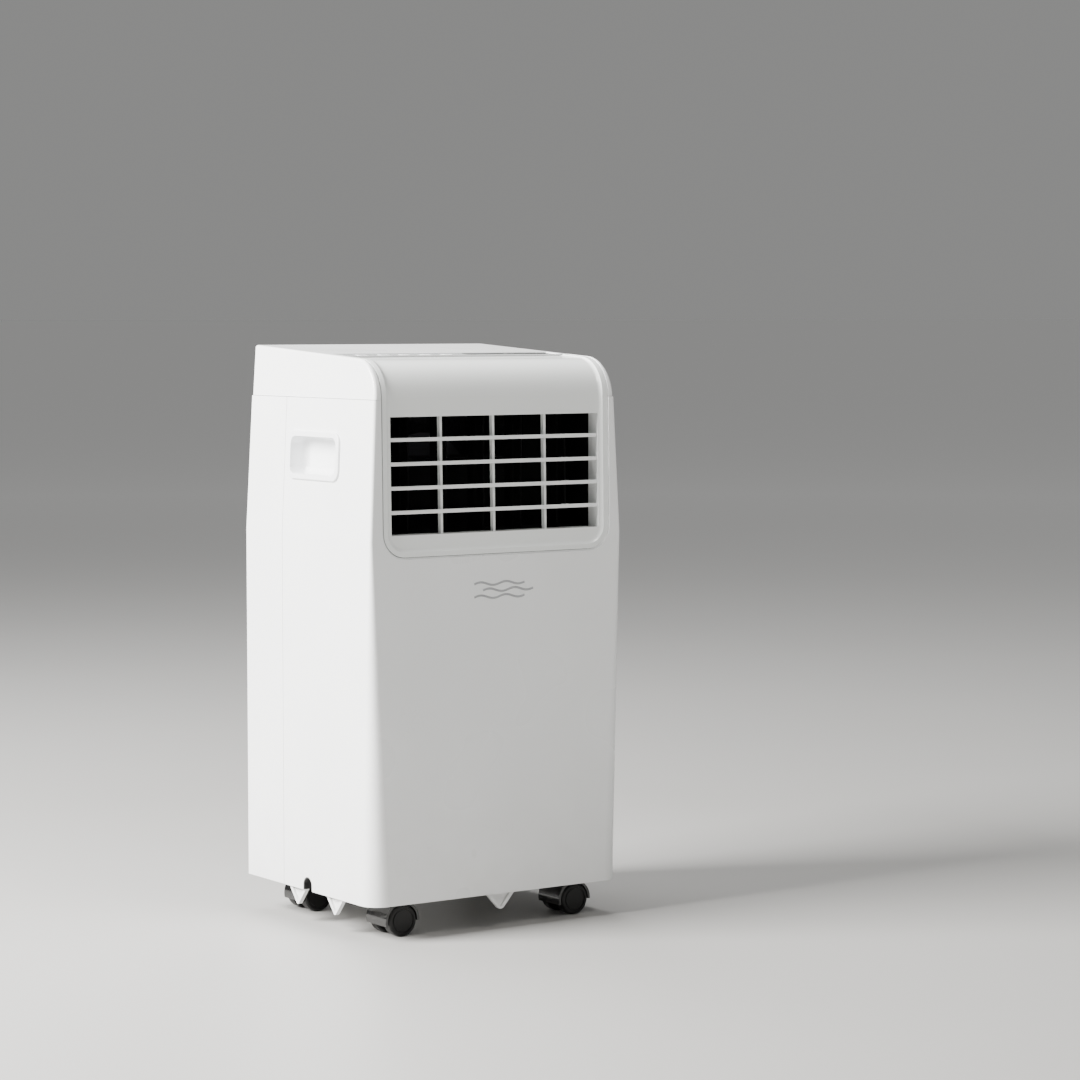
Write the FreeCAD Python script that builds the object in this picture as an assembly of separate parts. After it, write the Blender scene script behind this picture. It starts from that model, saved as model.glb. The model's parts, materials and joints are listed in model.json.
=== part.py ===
import FreeCAD, Part
import math
import os

# Portable air conditioner, millimetres. +Z is up, the front faces -Y, +X is to
# the right seen from the front. The origin is on the floor under the middle of
# the casing.

V = FreeCAD.Vector

# ---- casing -------------------------------------------------------------------
WIDTH = 348.0            # across the foot
DEPTH = 286.0            # front to back at the foot
HEIGHT = 679.0           # floor to the rear edge of the top
WALL = 2.5               # thickness of every moulded skin
SEAM = 0.6               # visible gap between neighbouring mouldings
LID_HEIGHT = 60.0        # rear height of the top cover
LEAN_HEIGHT = 159.0      # the walls lean in over this height below the top cover
SIDE_LEAN = 7.5          # each side comes in this much over that height
FRONT_LEAN = 2.5
REAR_LEAN = 3.0
LID_STEP = 0.9           # the top cover is this much smaller all round
LID_LEAN = 4.0           # its sides come in this much more
EDGE_R = 3.5             # rounding of the upright and top edges
FOOT_R = 23.0            # front corner radius at the foot, where the corner is softest
TOP_R = 45.0             # big rounding from the front over to the top
TOP_SLOPE = 3.27         # degrees, the top falls towards the front
SPLIT_Y = 55.0           # seam between front and rear casing
TONGUE = 1.8             # lip behind the seams
FIT = 0.3                # clearance between pieces that fit into each other
RUN = 0.05               # radial clearance of a turning pin
MERGE = 0.2              # how far a rib reaches into the wall that it is moulded on

LID_Z = HEIGHT - LID_HEIGHT
KNEE_Z = LID_Z - LEAN_HEIGHT
SLOPE = math.radians(TOP_SLOPE)
SIDE_ANGLE = math.degrees(math.atan(SIDE_LEAN / LEAN_HEIGHT))

# ---- outlet panel and louvres -------------------------------------------------
PANEL_BAND = 18.5        # casing left standing beside the panel
PANEL_DROP = 239.0       # top of the machine to the panel's lower edge
PANEL_CORNER = 28.0
PANEL_BACK = 85.0        # front of the casing to the panel's edge on the top
PANEL_REAR_GAP = 2.5     # panel's end on the top to the cover
PANEL_BORDER = 3.0       # flush rim round the dished face
PANEL_DISH = 2.0
PANEL_COVE = 8.0         # radius of the hollow that leads down to the dished face
PANEL_SINK = 0.2
GROOVE_WIDTH = 2.4       # step in the casing round the panel
GROOVE_DEPTH = 1.2
LIP_DEPTH = 9.0          # turned-back edge of the panel
OPEN_MARGIN = 11.5       # panel edge to outlet opening
OPEN_DROP = 79.7         # top of the machine to the opening's upper edge
OPEN_HEIGHT = 134.4
RETURN_DEPTH = 24.0      # casing front to the back of the opening's side walls
BLADES = 4
BLADE_PITCH = 27.5
BLADE_LIP = 2.6          # front edge of a blade, front to back
BLADE_LIP_HEIGHT = 4.4
BLADE_THICK = 2.2
BLADE_BACK = 8.0         # pivot to the blade's rear edge
BLADE_PIVOT = 11.8       # casing front to the pivots
PIN_R = 1.6
STAYS = 3                # upright bars between the blades
STAY_THICK = 3.0
STAY_AHEAD = 3.0         # front of a stay, ahead of the pivots
STAY_BACK = 2.6
STAY_GAP = 0.7
LINK_X = 108.0
LINK_PIN = 9.5           # pivot to link pin
LINK_THICK = 2.0
LINK_WIDTH = 4.0
LINK_PIN_R = 1.2
EAR = 1.8                # thickness of the ears that hold a link pin
DUCT_DEPTH = 58.0
DUCT_WALL = 2.0
NECK_WIDTH = 176.0       # air passage into the duct
NECK_HEIGHT = 52.0
VANES = 5
VANE_PITCH = 52.0
VANE_CHORD = 34.0
VANE_THICK = 2.0
VANE_PIN_R = 2.0

# ---- controls -----------------------------------------------------------------
CONTROL_SIDE = 24.0      # casing side at the foot to the plate's end
CONTROL_WIDTH = WIDTH - 2 * CONTROL_SIDE
CONTROL_DEPTH = 30.0
CONTROL_BACK = 90.8      # front of the casing to the plate's front edge
CONTROL_SINK = 0.8
CONTROL_LIP = 3.0         # flange under the cover round the plate
POST_R = 3.0             # posts that carry the control board
POST_IN = 7.0
BOARD_DROP = 9.5         # top of the machine to the control board
BOARD_THICK = 1.6
SWITCH_HEIGHT = 2.0
BUTTON_NAMES = ["power", "mode", "fan", "down", "up"]
BUTTON_R = 7.0
BUTTON_TRAVEL = 1.0
BUTTON_PROUD = 0.15      # cap above the plate
BUTTON_FLANGE = 1.6
DISPLAY_WIDTH = 118.0
DISPLAY_DEPTH = 22.0
DISPLAY_END = 6.0        # display to the plate's right end
DISPLAY_PROUD = 0.2
DISPLAY_X = CONTROL_WIDTH / 2 - DISPLAY_END - DISPLAY_WIDTH / 2
BUTTON_PITCH = (CONTROL_WIDTH - DISPLAY_END - DISPLAY_WIDTH) / (len(BUTTON_NAMES) + 1)
BUTTON_X = [-CONTROL_WIDTH / 2 + BUTTON_PITCH * (index + 1) for index in range(len(BUTTON_NAMES))]
BOARD_IN = 2.0           # plate's edge to the board's edge
SWITCH_HALF = 3.0

# ---- handle cups --------------------------------------------------------------
CUP_LENGTH = 115.0
CUP_HEIGHT = 57.0
CUP_Y = -12.8            # middle of the cup
CUP_DROP = 127.0         # top of the machine to the middle of the cup
CUP_RIM = 6.5
CUP_RAISE = 2.7
CUP_DEPTH = 20.0
CUP_CORNER = 13.0
CUP_POCKET_CORNER = 9.5
CUP_HOLLOW = 9.0         # rounding inside the pocket's floor
CUP_WALL = 2.0

# ---- base tray and casters ----------------------------------------------------
TRAY_HEIGHT = 32.0
TRAY_FLOOR = 3.0
TAB_WIDTH = 40.0
TAB_DROP = 22.0          # casing's lower edge to the tip of a tab
TAB_DEPTH = 5.0
TAB_RIM = 5.5
TAB_BOSS_R = 4.0
TAB_Y = [-56.0, 29.0]
TAB_FRONT_X = 5.0
NOTCH_R = 10.0
NOTCH_RISE = 6.0
NOTCH_DEPTH = 20.0
NOTCH_FLATS = 12
STEM_IN_X = 53.0         # casing side to caster stem
STEM_IN_Y = 48.0         # casing front or rear to caster stem
STEM_R = 5.45
STEM_LENGTH = 18.0
SOCKET_R = 10.0
SOCKET_CAP = 2.5         # top of a socket above the stem
WHEEL_R = 18.5
WHEEL_WIDTH = 15.0
WHEEL_EDGE = 2.5         # rounding of the tread
WHEEL_CAP_R = 12.5       # plain disc on the outer face
WHEEL_RING = 4.0         # tread ring outside the dished face
WHEEL_DISH = 1.2
TRAIL = 5.0
WEB_HALF = 7.0
WEB_HUB_R = 13.0
BOSS_R = 8.5
WHEEL_GAP = 0.5
AXLE_R = 2.5
AXLE_SHORT = 2.0         # wheel's outer face to the axle's end
FENDER = 3.0
FENDER_SHORT = 1.0       # wheel's outer face to the fender's edge
FENDER_GAP = 1.2
CASTER_ROOM = 0.8        # fender to the tray
BASE_Z = 2 * WHEEL_R + FENDER_GAP + FENDER + CASTER_ROOM    # floor to the casing's lower edge

# ---- rear side ----------------------------------------------------------------
GRILLE_SIDE = 38.0       # casing side to a grille opening
FILTER_TOP_DROP = 75.0
FILTER_HEIGHT = 168.0
GRILLE_UP = 1.0          # tray to the lower grille
SLOT_PITCH = 9.0
SLOT_HEIGHT = 5.5
GRILLE_FRAME = 9.0
GRILLE_THICK = 4.0
GRILLE_RIB = 5.0
GRILLE_SINK = 0.4
MESH_THICK = 1.2
FILTER_PIN_R = 1.2
FILTER_PIN_UP = 3.2
FILTER_SWEEP = 1.0
HOSE_R = 62.0            # inside of the exhaust collar
HOSE_WALL = 3.5
HOSE_STOP = 3.0          # step behind the collar that stops the hose end
DUCT_RISE = 18.0         # collar's bore to the top of the condenser's scroll
COLLAR_LENGTH = 25.0
COLLAR_FLANGE = 6.0      # flange beyond the tube's wall
COLLAR_ROOM = 12.5       # flange to the lower grille
FLOOR_ROOM = 3.5         # flange to the partition above it
FLANGE_THICK = 3.0
REAR_SHORT = 0.2         # outer face of the rear wall to the ends of collar, plug and gland
DRAIN_UP = 15.0          # underside of the tray to the drain plug
DRAIN_R = 9.0
DRAIN_STEP = 3.0         # cap to shank
DRAIN_RIM = 1.5
DRAIN_HOLLOW = 1.4
DRAIN_SHANK = 16.0       # rear wall to the shank's inner end
GLAND_IN = 54.0          # casing side to the cord gland
GLAND_Z = 330.0
GLAND_R = 6.5
GLAND_LENGTH = 10.0
CORD_R = 3.6
SCREW_IN = 13.0
SCREW_Z = [95.0, 280.0, 410.0]
SCREW_HEAD_R = 4.2
SCREW_HEAD = 2.4
SCREW_SEAT = 1.5         # rear wall's inner face to the head's seat
SCREW_CROSS = 2.4        # half length of the cross in the head
SCREW_CROSS_HALF = 0.5
SCREW_CROSS_DEEP = 1.2
SCREW_R = 2.0
SCREW_LENGTH = 14.0
SCREW_BOSS_R = 6.0
SCREW_BOSS = 18.0        # rear wall's outer face to the boss's end
RING_UP = 4.0            # tray to the ring behind the seam
RING_DOWN = 8.0          # ring to the top cover
RING_AHEAD = 6.0         # seam to the ring's front edge
RING_BACK = 9.0
WEB_BACK = 3.0           # seam to the web that joins the ring to the rear casing
PIN_PAD = 5.0            # pad beside the filter opening that holds its pin

# ---- inside -------------------------------------------------------------------
FLOOR_Z = 425.0          # partition between the warm and the cold half
FLOOR_THICK = 3.0
EVAP_WHEEL_R = 66.0
EVAP_WHEEL_WIDTH = 44.0
EVAP_SCROLL_WIDTH = 196.0
EVAP_SCROLL_Y = 12.0
COND_WHEEL_R = 60.0
COND_WHEEL_WIDTH = 40.0
COND_SCROLL_WIDTH = 150.0
COND_SCROLL_Y = 20.0
SCROLL_ROOM = 15.0       # wheel to the top and the bottom of its scroll
SCROLL_WALL = 2.5
SCROLL_DEPTH = 64.0
MOTOR_R = 31.0
MOTOR_LENGTH = 50.0
SHAFT_R = 4.0
COIL_DEPTH = 24.0
COMPRESSOR_Y = -25.0
COMPRESSOR_R = 54.0
COMPRESSOR_FLANGE = 8.0  # foot plate beyond the can
COMPRESSOR_ROUND = 20.0
ROOM_SHARES = (39, 46, 53)   # spare width left of the compressor, before the scroll and right of it
COMPRESSOR_HEIGHT = 185.0
MOUNT_ROOM = 0.5         # caster sockets to the compressor's foot plate
PIPE_R = 4.0
PIPE_BEND = 10.0

FRONT_Y = -DEPTH / 2
REAR_Y = DEPTH / 2
SPARE_WIDTH = WIDTH - 2 * WALL - 2 * (COMPRESSOR_R + COMPRESSOR_FLANGE) - COND_SCROLL_WIDTH
ROOM_LEFT = SPARE_WIDTH * ROOM_SHARES[0] / sum(ROOM_SHARES)
ROOM_RIGHT = SPARE_WIDTH * ROOM_SHARES[2] / sum(ROOM_SHARES)
COMPRESSOR_X = -WIDTH / 2 + WALL + ROOM_LEFT + COMPRESSOR_FLANGE + COMPRESSOR_R
HOSE_X = WIDTH / 2 - WALL - ROOM_RIGHT - COND_SCROLL_WIDTH / 2
GLAND_X = -WIDTH / 2 + GLAND_IN
COLLAR_R = HOSE_R + HOSE_WALL
FLANGE_R = COLLAR_R + COLLAR_FLANGE
HOSE_Z = FLOOR_Z - FLOOR_ROOM - FLANGE_R
COND_WHEEL_Z = HOSE_Z - HOSE_R - DUCT_RISE - COND_WHEEL_R - SCROLL_ROOM
MOUNT_HEIGHT = STEM_LENGTH + SOCKET_CAP + MOUNT_ROOM - TRAY_FLOOR


# ---- small helpers --------------------------------------------------------------
def box(x0, x1, y0, y1, z0, z1):
    return Part.makeBox(x1 - x0, y1 - y0, z1 - z0, V(x0, y0, z0))


def rod(radius, start, end):
    axis = end - start
    return Part.makeCylinder(radius, axis.Length, start, axis)


def fuse(shapes):
    return shapes[0].multiFuse(shapes[1:]).removeSplitter() if len(shapes) > 1 else shapes[0]


def cut(shape, cutters):
    return shape.cut(Part.makeCompound(cutters)) if cutters else shape


def mirror_x(shape):
    return shape.mirror(V(0, 0, 0), V(1, 0, 0))


def extrude_yz(points, x0, x1):
    """Straight-sided outline of (y, z) points, drawn out from x0 to x1."""
    corners = [V(x0, y, z) for y, z in points]
    face = Part.Face(Part.makePolygon(corners + corners[:1]))
    return face.extrude(V(x1 - x0, 0, 0))


def rounded_plate(length, height, corner, x0, x1):
    """Rounded rectangle in Y and Z round the X axis, drawn out from x0 to x1."""
    block = box(x0, x1, -length / 2, length / 2, -height / 2, height / 2)
    uprights = [e for e in block.Edges if abs(e.tangentAt(0).x) > 0.9]
    return block.makeFillet(corner, uprights)


# ---- the casing's outer form ------------------------------------------------------
def lean(z):
    return max(0.0, z - KNEE_Z) / LEAN_HEIGHT


def half_width(z):
    return WIDTH / 2 - SIDE_LEAN * lean(z)


def front_y(z):
    return FRONT_Y + FRONT_LEAN * lean(z)


def rear_y(z):
    return REAR_Y - REAR_LEAN * lean(z)


def front_corner(z):
    share = min(1.0, (z - BASE_Z) / (KNEE_Z - BASE_Z))
    return FOOT_R + (EDGE_R - FOOT_R) * share


def corner_arc(centre, radius, start_degrees):
    angles = [math.radians(start_degrees + turn) for turn in (0, 45, 90)]
    points = [centre + V(radius * math.cos(a), radius * math.sin(a), 0) for a in angles]
    return Part.Arc(*points).toShape()


def section(z, inset):
    """Level outline of the casing at height z, moved in by inset."""
    w = half_width(z) - inset
    front = front_y(z) + inset
    rear = rear_y(z) - inset
    rf = max(front_corner(z) - inset, 0.5)
    rr = max(EDGE_R - inset, 0.5)
    arcs = [
        corner_arc(V(-w + rf, front + rf, z), rf, 180),
        corner_arc(V(w - rf, front + rf, z), rf, 270),
        corner_arc(V(w - rr, rear - rr, z), rr, 0),
        corner_arc(V(-w + rr, rear - rr, z), rr, 90),
    ]
    edges = []
    for arc, following in zip(arcs, arcs[1:] + arcs[:1]):
        edges.append(arc)
        edges.append(Part.makeLine(arc.lastVertex().Point, following.firstVertex().Point))
    return Part.Wire(edges)


def casing_block(inset, z0, z1):
    levels = [z0] + [z for z in (KNEE_Z,) if z0 < z < z1] + [z1]
    return Part.makeLoft([section(z, inset) for z in levels], True, True)


def top_line(y, inset):
    """Height of the sloping top at depth y."""
    rear = REAR_Y - REAR_LEAN - LID_STEP
    return HEIGHT - inset / math.cos(SLOPE) - (rear - y) * math.tan(SLOPE)


def brow(inset, tilt):
    """Ends and middle of the big rounding between front and top; the front leans by tilt."""
    front = FRONT_Y + FRONT_LEAN + LID_STEP
    centre_y = front + TOP_R
    centre_z = top_line(centre_y, 0) - TOP_R / math.cos(SLOPE)
    radius = TOP_R - inset
    start = math.pi - tilt
    end = math.pi / 2 + SLOPE
    angles = (start, (start + end) / 2, end)
    return [(centre_y + radius * math.cos(a), centre_z + radius * math.sin(a)) for a in angles]


def brow_solid(inset, tilt, foot_z, rear, half):
    """Solid behind the line from foot_z up the front, round the brow and along the top."""
    low, middle, high = [V(-half, y, z) for y, z in brow(inset, tilt)]
    foot = V(-half, low.y - (low.z - foot_z) * math.tan(tilt), foot_z)
    back = V(-half, rear, top_line(rear, inset))
    heel = V(-half, rear, foot_z)
    edges = [Part.makeLine(foot, low), Part.Arc(low, middle, high).toShape(), Part.makeLine(high, back)]
    edges += [Part.makeLine(back, heel), Part.makeLine(heel, foot)]
    return Part.Face(Part.Wire(edges)).extrude(V(2 * half, 0, 0))


def lid_block(inset, z0):
    """Top cover's outer form, moved in by inset, from z0 up."""
    rear = REAR_Y - REAR_LEAN - LID_STEP - inset
    low = half_width(LID_Z) - LID_STEP - inset
    high = low - LID_LEAN
    shape = brow_solid(inset, 0, z0, rear, WIDTH)
    sides = [V(-low, -DEPTH, z0), V(low, -DEPTH, z0), V(high, -DEPTH, HEIGHT), V(-high, -DEPTH, HEIGHT)]
    shape = shape.common(Part.Face(Part.makePolygon(sides + sides[:1])).extrude(V(0, 2 * DEPTH, 0)))
    radius = max(EDGE_R - inset, 0.5)
    chosen = []
    for edge in shape.Edges:
        bounds = edge.BoundBox
        on_side = min(abs(bounds.XMin), abs(bounds.XMax)) > high - 1 and bounds.XMin * bounds.XMax > 0
        on_floor = bounds.ZMax < z0 + 0.01
        rear_top = bounds.ZMin > HEIGHT - inset - 1.5 and bounds.YMin > rear - 0.5
        if (on_side and not on_floor) or rear_top:
            chosen.append(edge)
    return shape.makeFillet(radius, chosen)


def skin(block, inner):
    return block.cut(inner)


# ---- places that several pieces share ---------------------------------------------
PANEL_HALF = WIDTH / 2 - PANEL_BAND
PANEL_Z = HEIGHT - PANEL_DROP
PANEL_END_Y = FRONT_Y + PANEL_BACK
OPEN_HALF = PANEL_HALF - OPEN_MARGIN
OPEN_TOP = HEIGHT - OPEN_DROP
OPEN_LOW = OPEN_TOP - OPEN_HEIGHT
OPEN_MID = (OPEN_TOP + OPEN_LOW) / 2
RETURN_Y = FRONT_Y + RETURN_DEPTH
DUCT_END_Y = RETURN_Y + DUCT_DEPTH
VANE_Y = RETURN_Y + 24.0
CUP_Z = HEIGHT - CUP_DROP
TRAY_INSET = WALL + FIT
TRAY_Z = BASE_Z + 1.0
DRAIN_Z = TRAY_Z + DRAIN_UP
LOWER_GRILLE_Z = TRAY_Z + TRAY_HEIGHT + GRILLE_UP
LOWER_GRILLE_HEIGHT = HOSE_Z - FLANGE_R - COLLAR_ROOM - LOWER_GRILLE_Z
TAB_TIP_Z = BASE_Z - TAB_DROP
TAB_BOSS_Z = BASE_Z - 8.0
FILTER_TOP = HEIGHT - FILTER_TOP_DROP
FILTER_LOW = FILTER_TOP - FILTER_HEIGHT
GRILLE_HALF = WIDTH / 2 - GRILLE_SIDE
FILTER_PIN_Z = FILTER_LOW + FILTER_SWEEP + FILTER_PIN_UP
FILTER_PIN_Y = rear_y(FILTER_PIN_Z) - GRILLE_SINK - GRILLE_THICK / 2
EVAP_Z = FLOOR_Z + FLOOR_THICK + SCROLL_WALL + EVAP_WHEEL_R + 12.0


def panel_tilt():
    """Lean of the panel that makes it start flush with the casing and meet the brow smoothly."""
    rise = brow(0, 0)[0][1] - PANEL_Z
    reach = TOP_R + FRONT_LEAN + LID_STEP
    return math.acos(TOP_R / math.hypot(reach, rise)) - math.atan2(rise, reach)


def panel_front(z):
    """Front of the outlet panel's plane, before it is dished."""
    return FRONT_Y + (z - PANEL_Z) * math.tan(panel_tilt())


def panel_form(inset, half):
    return brow_solid(inset, panel_tilt(), PANEL_Z - 20, PANEL_END_Y + 20, half)


def panel_outline(grow, back):
    """Upright prism round the panel: rounded below, open above, ending at y = back."""
    half = PANEL_HALF + grow
    low = PANEL_Z - grow
    block = box(-half, half, FRONT_Y - 30, back, low, HEIGHT + 30)
    corners = []
    for edge in block.Edges:
        bounds = edge.BoundBox
        if bounds.ZMax < low + 0.01 and bounds.YLength > 10:
            corners.append(edge)
    return block.makeFillet(PANEL_CORNER + grow, corners)


def blade_places():
    first = OPEN_MID - BLADE_PITCH * (BLADES - 1) / 2
    places = []
    for index in range(BLADES):
        z = first + index * BLADE_PITCH
        places.append((panel_front(z) + BLADE_PIVOT, z))
    return places


def stay_places():
    pitch = 2 * OPEN_HALF / (STAYS + 1)
    return [-OPEN_HALF + pitch * (index + 1) for index in range(STAYS)]


def vane_places():
    return [(index - (VANES - 1) / 2) * VANE_PITCH for index in range(VANES)]


# ---- casing pieces ------------------------------------------------------------------
def handle_place(shape):
    """Move a shape drawn round the X axis onto the right side's leaning face."""
    moved = shape.copy()
    moved.rotate(V(0, 0, 0), V(0, 1, 0), -SIDE_ANGLE)
    moved.translate(V(half_width(CUP_Z), CUP_Y, CUP_Z))
    return moved


def cup_tub(grow):
    inner = CUP_LENGTH - 2 * CUP_RIM
    height = CUP_HEIGHT - 2 * CUP_RIM
    corner = CUP_POCKET_CORNER + grow
    return rounded_plate(inner + 2 * grow, height + 2 * grow, corner, -CUP_DEPTH - CUP_WALL, 10.0)


def handle_cup():
    rim = rounded_plate(CUP_LENGTH, CUP_HEIGHT, CUP_CORNER, 0, CUP_RAISE)
    front = [e for e in rim.Edges if e.BoundBox.XMin > CUP_RAISE - 0.01]
    rim = rim.makeFillet(CUP_RAISE * 0.6, front)
    reach = CUP_LENGTH
    tub = cup_tub(CUP_WALL).common(box(-CUP_DEPTH - CUP_WALL, 0, -reach, reach, -reach, reach))
    back = [e for e in tub.Edges if e.BoundBox.XMax < -CUP_DEPTH - CUP_WALL + 0.1]
    tub = tub.makeFillet(CUP_HOLLOW + CUP_WALL / 2, back)
    pocket = cup_tub(0).common(box(-CUP_DEPTH, 10, -reach, reach, -reach, reach))
    back = [e for e in pocket.Edges if e.BoundBox.XMax < -CUP_DEPTH + 0.1]
    pocket = pocket.makeFillet(CUP_HOLLOW, back)
    return handle_place(fuse([rim, tub]).cut(pocket))


def notch(side):
    """Arched notch through the bottom edge of a side wall, its curve cut in flats."""
    spring, foot = BASE_Z + NOTCH_RISE, BASE_Z - NOTCH_R
    inner, outer = WIDTH / 2 - NOTCH_DEPTH, WIDTH / 2 + NOTCH_RISE
    outline = [(NOTCH_R, foot)]
    for step in range(NOTCH_FLATS + 1):
        turn = math.pi * step / NOTCH_FLATS
        outline.append((NOTCH_R * math.cos(turn), spring + NOTCH_R * math.sin(turn)))
    outline.append((-NOTCH_R, foot))
    return extrude_yz(outline, side * inner, side * outer)


def panel_rebate():
    """Step cut into the casing round the panel, which shows as a soft groove."""
    return skin(panel_outline(GROOVE_WIDTH, PANEL_END_Y), panel_form(GROOVE_DEPTH, WIDTH))


def casing_skin():
    outer = casing_block(0, BASE_Z, LID_Z - SEAM / 2)
    inner = casing_block(WALL, BASE_Z - 1, LID_Z + 1)
    return skin(outer, inner)


def front_shell():
    shell = casing_skin().common(box(-WIDTH, WIDTH, -DEPTH, SPLIT_Y - SEAM / 2, 0, HEIGHT))
    hole = handle_place(cup_tub(CUP_WALL + FIT))
    shell = cut(shell, [notch(-1), notch(1)])
    return cut(shell, [panel_outline(SEAM, PANEL_END_Y), panel_rebate(), hole, mirror_x(hole)])


def grille_window(low, height):
    return box(-GRILLE_HALF, GRILLE_HALF, REAR_Y - 30, REAR_Y + 5, low, low + height)


def screw_places():
    x = WIDTH / 2 - SCREW_IN
    return [(side * x, z) for side in (-1, 1) for z in SCREW_Z]


def screw(x, z):
    seat = REAR_Y - WALL - SCREW_SEAT
    head = rod(SCREW_HEAD_R, V(x, seat, z), V(x, seat + SCREW_HEAD, z))
    shank = rod(SCREW_R, V(x, seat - SCREW_LENGTH, z), V(x, seat, z))
    low, high = seat + SCREW_CROSS_DEEP, seat + SCREW_HEAD + 1
    cross = []
    for half_x, half_z in ((SCREW_CROSS, SCREW_CROSS_HALF), (SCREW_CROSS_HALF, SCREW_CROSS)):
        cross.append(box(x - half_x, x + half_x, low, high, z - half_z, z + half_z))
    return cut(fuse([head, shank]), cross)


def joint_ring():
    """Ring behind the seam that the front casing slides over, and the web that carries it."""
    low = TRAY_Z + TRAY_HEIGHT + RING_UP
    high = LID_Z - RING_DOWN
    inside = casing_block(WALL + FIT + TONGUE, low - 1, high + 1)
    ring = skin(casing_block(WALL + FIT, low, high), inside)
    ring = ring.common(box(-WIDTH, WIDTH, SPLIT_Y - RING_AHEAD, SPLIT_Y + RING_BACK, 0, HEIGHT))
    web = skin(casing_block(WALL - MERGE, low, high), inside)
    web = web.common(box(-WIDTH, WIDTH, SPLIT_Y + WEB_BACK, SPLIT_Y + RING_BACK, 0, HEIGHT))
    return [ring, web]


def filter_pads():
    """Pads beside the filter opening, with the holes of its pins."""
    pads = []
    for side in (-1, 1):
        x0, x1 = sorted((side * GRILLE_HALF, side * (GRILLE_HALF + PIN_PAD)))
        pads.append(box(x0, x1, FILTER_PIN_Y - PIN_PAD, REAR_Y - WALL + MERGE,
                        FILTER_PIN_Z - PIN_PAD, FILTER_PIN_Z + PIN_PAD))
    return pads


def screw_bosses():
    return [rod(SCREW_BOSS_R, V(x, REAR_Y - SCREW_BOSS, z), V(x, REAR_Y - WALL + MERGE, z))
            for x, z in screw_places()]


def rear_hole(radius, x, z):
    return rod(radius, V(x, REAR_Y - 2 * WALL, z), V(x, REAR_Y + 1, z))


def rear_shell():
    shell = casing_skin().common(box(-WIDTH, WIDTH, SPLIT_Y + SEAM / 2, DEPTH, 0, HEIGHT))
    inside = casing_block(WALL / 2, BASE_Z, LID_Z)
    inner_parts = [part.common(inside) for part in filter_pads() + screw_bosses()]
    shell = fuse([shell] + joint_ring() + inner_parts)
    cutters = [rear_hole(COLLAR_R + FIT, HOSE_X, HOSE_Z), rear_hole(DRAIN_R + FIT, 0, DRAIN_Z)]
    cutters.append(rear_hole(GLAND_R + FIT, GLAND_X, GLAND_Z))
    reach = GRILLE_HALF + PIN_PAD - 1
    cutters.append(rod(FILTER_PIN_R + RUN, V(-reach, FILTER_PIN_Y, FILTER_PIN_Z), V(reach, FILTER_PIN_Y, FILTER_PIN_Z)))
    cutters.append(grille_window(FILTER_LOW, FILTER_HEIGHT))
    cutters.append(grille_window(LOWER_GRILLE_Z, LOWER_GRILLE_HEIGHT))
    for x, z in screw_places():
        cutters.append(rod(SCREW_HEAD_R + FIT, V(x, REAR_Y - WALL - SCREW_SEAT, z), V(x, REAR_Y + 1, z)))
        cutters.append(rod(SCREW_R + RUN, V(x, REAR_Y - SCREW_BOSS - 1, z), V(x, REAR_Y, z)))
    return cut(shell, cutters)


def on_top(shape):
    """Lay a shape drawn on the level onto the sloping top."""
    y = FRONT_Y + CONTROL_BACK + CONTROL_DEPTH / 2
    moved = shape.copy()
    moved.rotate(V(0, 0, 0), V(1, 0, 0), TOP_SLOPE)
    moved.translate(V(0, y, top_line(y, 0)))
    return moved


def top_cover():
    shell = skin(lid_block(0, LID_Z + SEAM / 2), lid_block(WALL, LID_Z - 1))
    tongue = skin(casing_block(WALL + FIT, LID_Z - 6, LID_Z + 2),
                  casing_block(WALL + FIT + TONGUE, LID_Z - 7, LID_Z + 3))
    outside = lid_block(WALL / 2, LID_Z - 10)
    step = skin(outside.common(box(-WIDTH, WIDTH, -DEPTH, DEPTH, LID_Z + SEAM / 2, LID_Z + 2)),
                casing_block(WALL + FIT + TONGUE, LID_Z - 7, LID_Z + 3))
    cover = fuse([shell, tongue.common(outside), step])
    half = CONTROL_WIDTH / 2 + FIT
    depth = CONTROL_DEPTH / 2 + FIT
    window = on_top(box(-half, half, -depth, depth, -10, 10))
    return cut(cover, [panel_outline(SEAM, PANEL_END_Y + PANEL_REAR_GAP), panel_rebate(), window])


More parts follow.
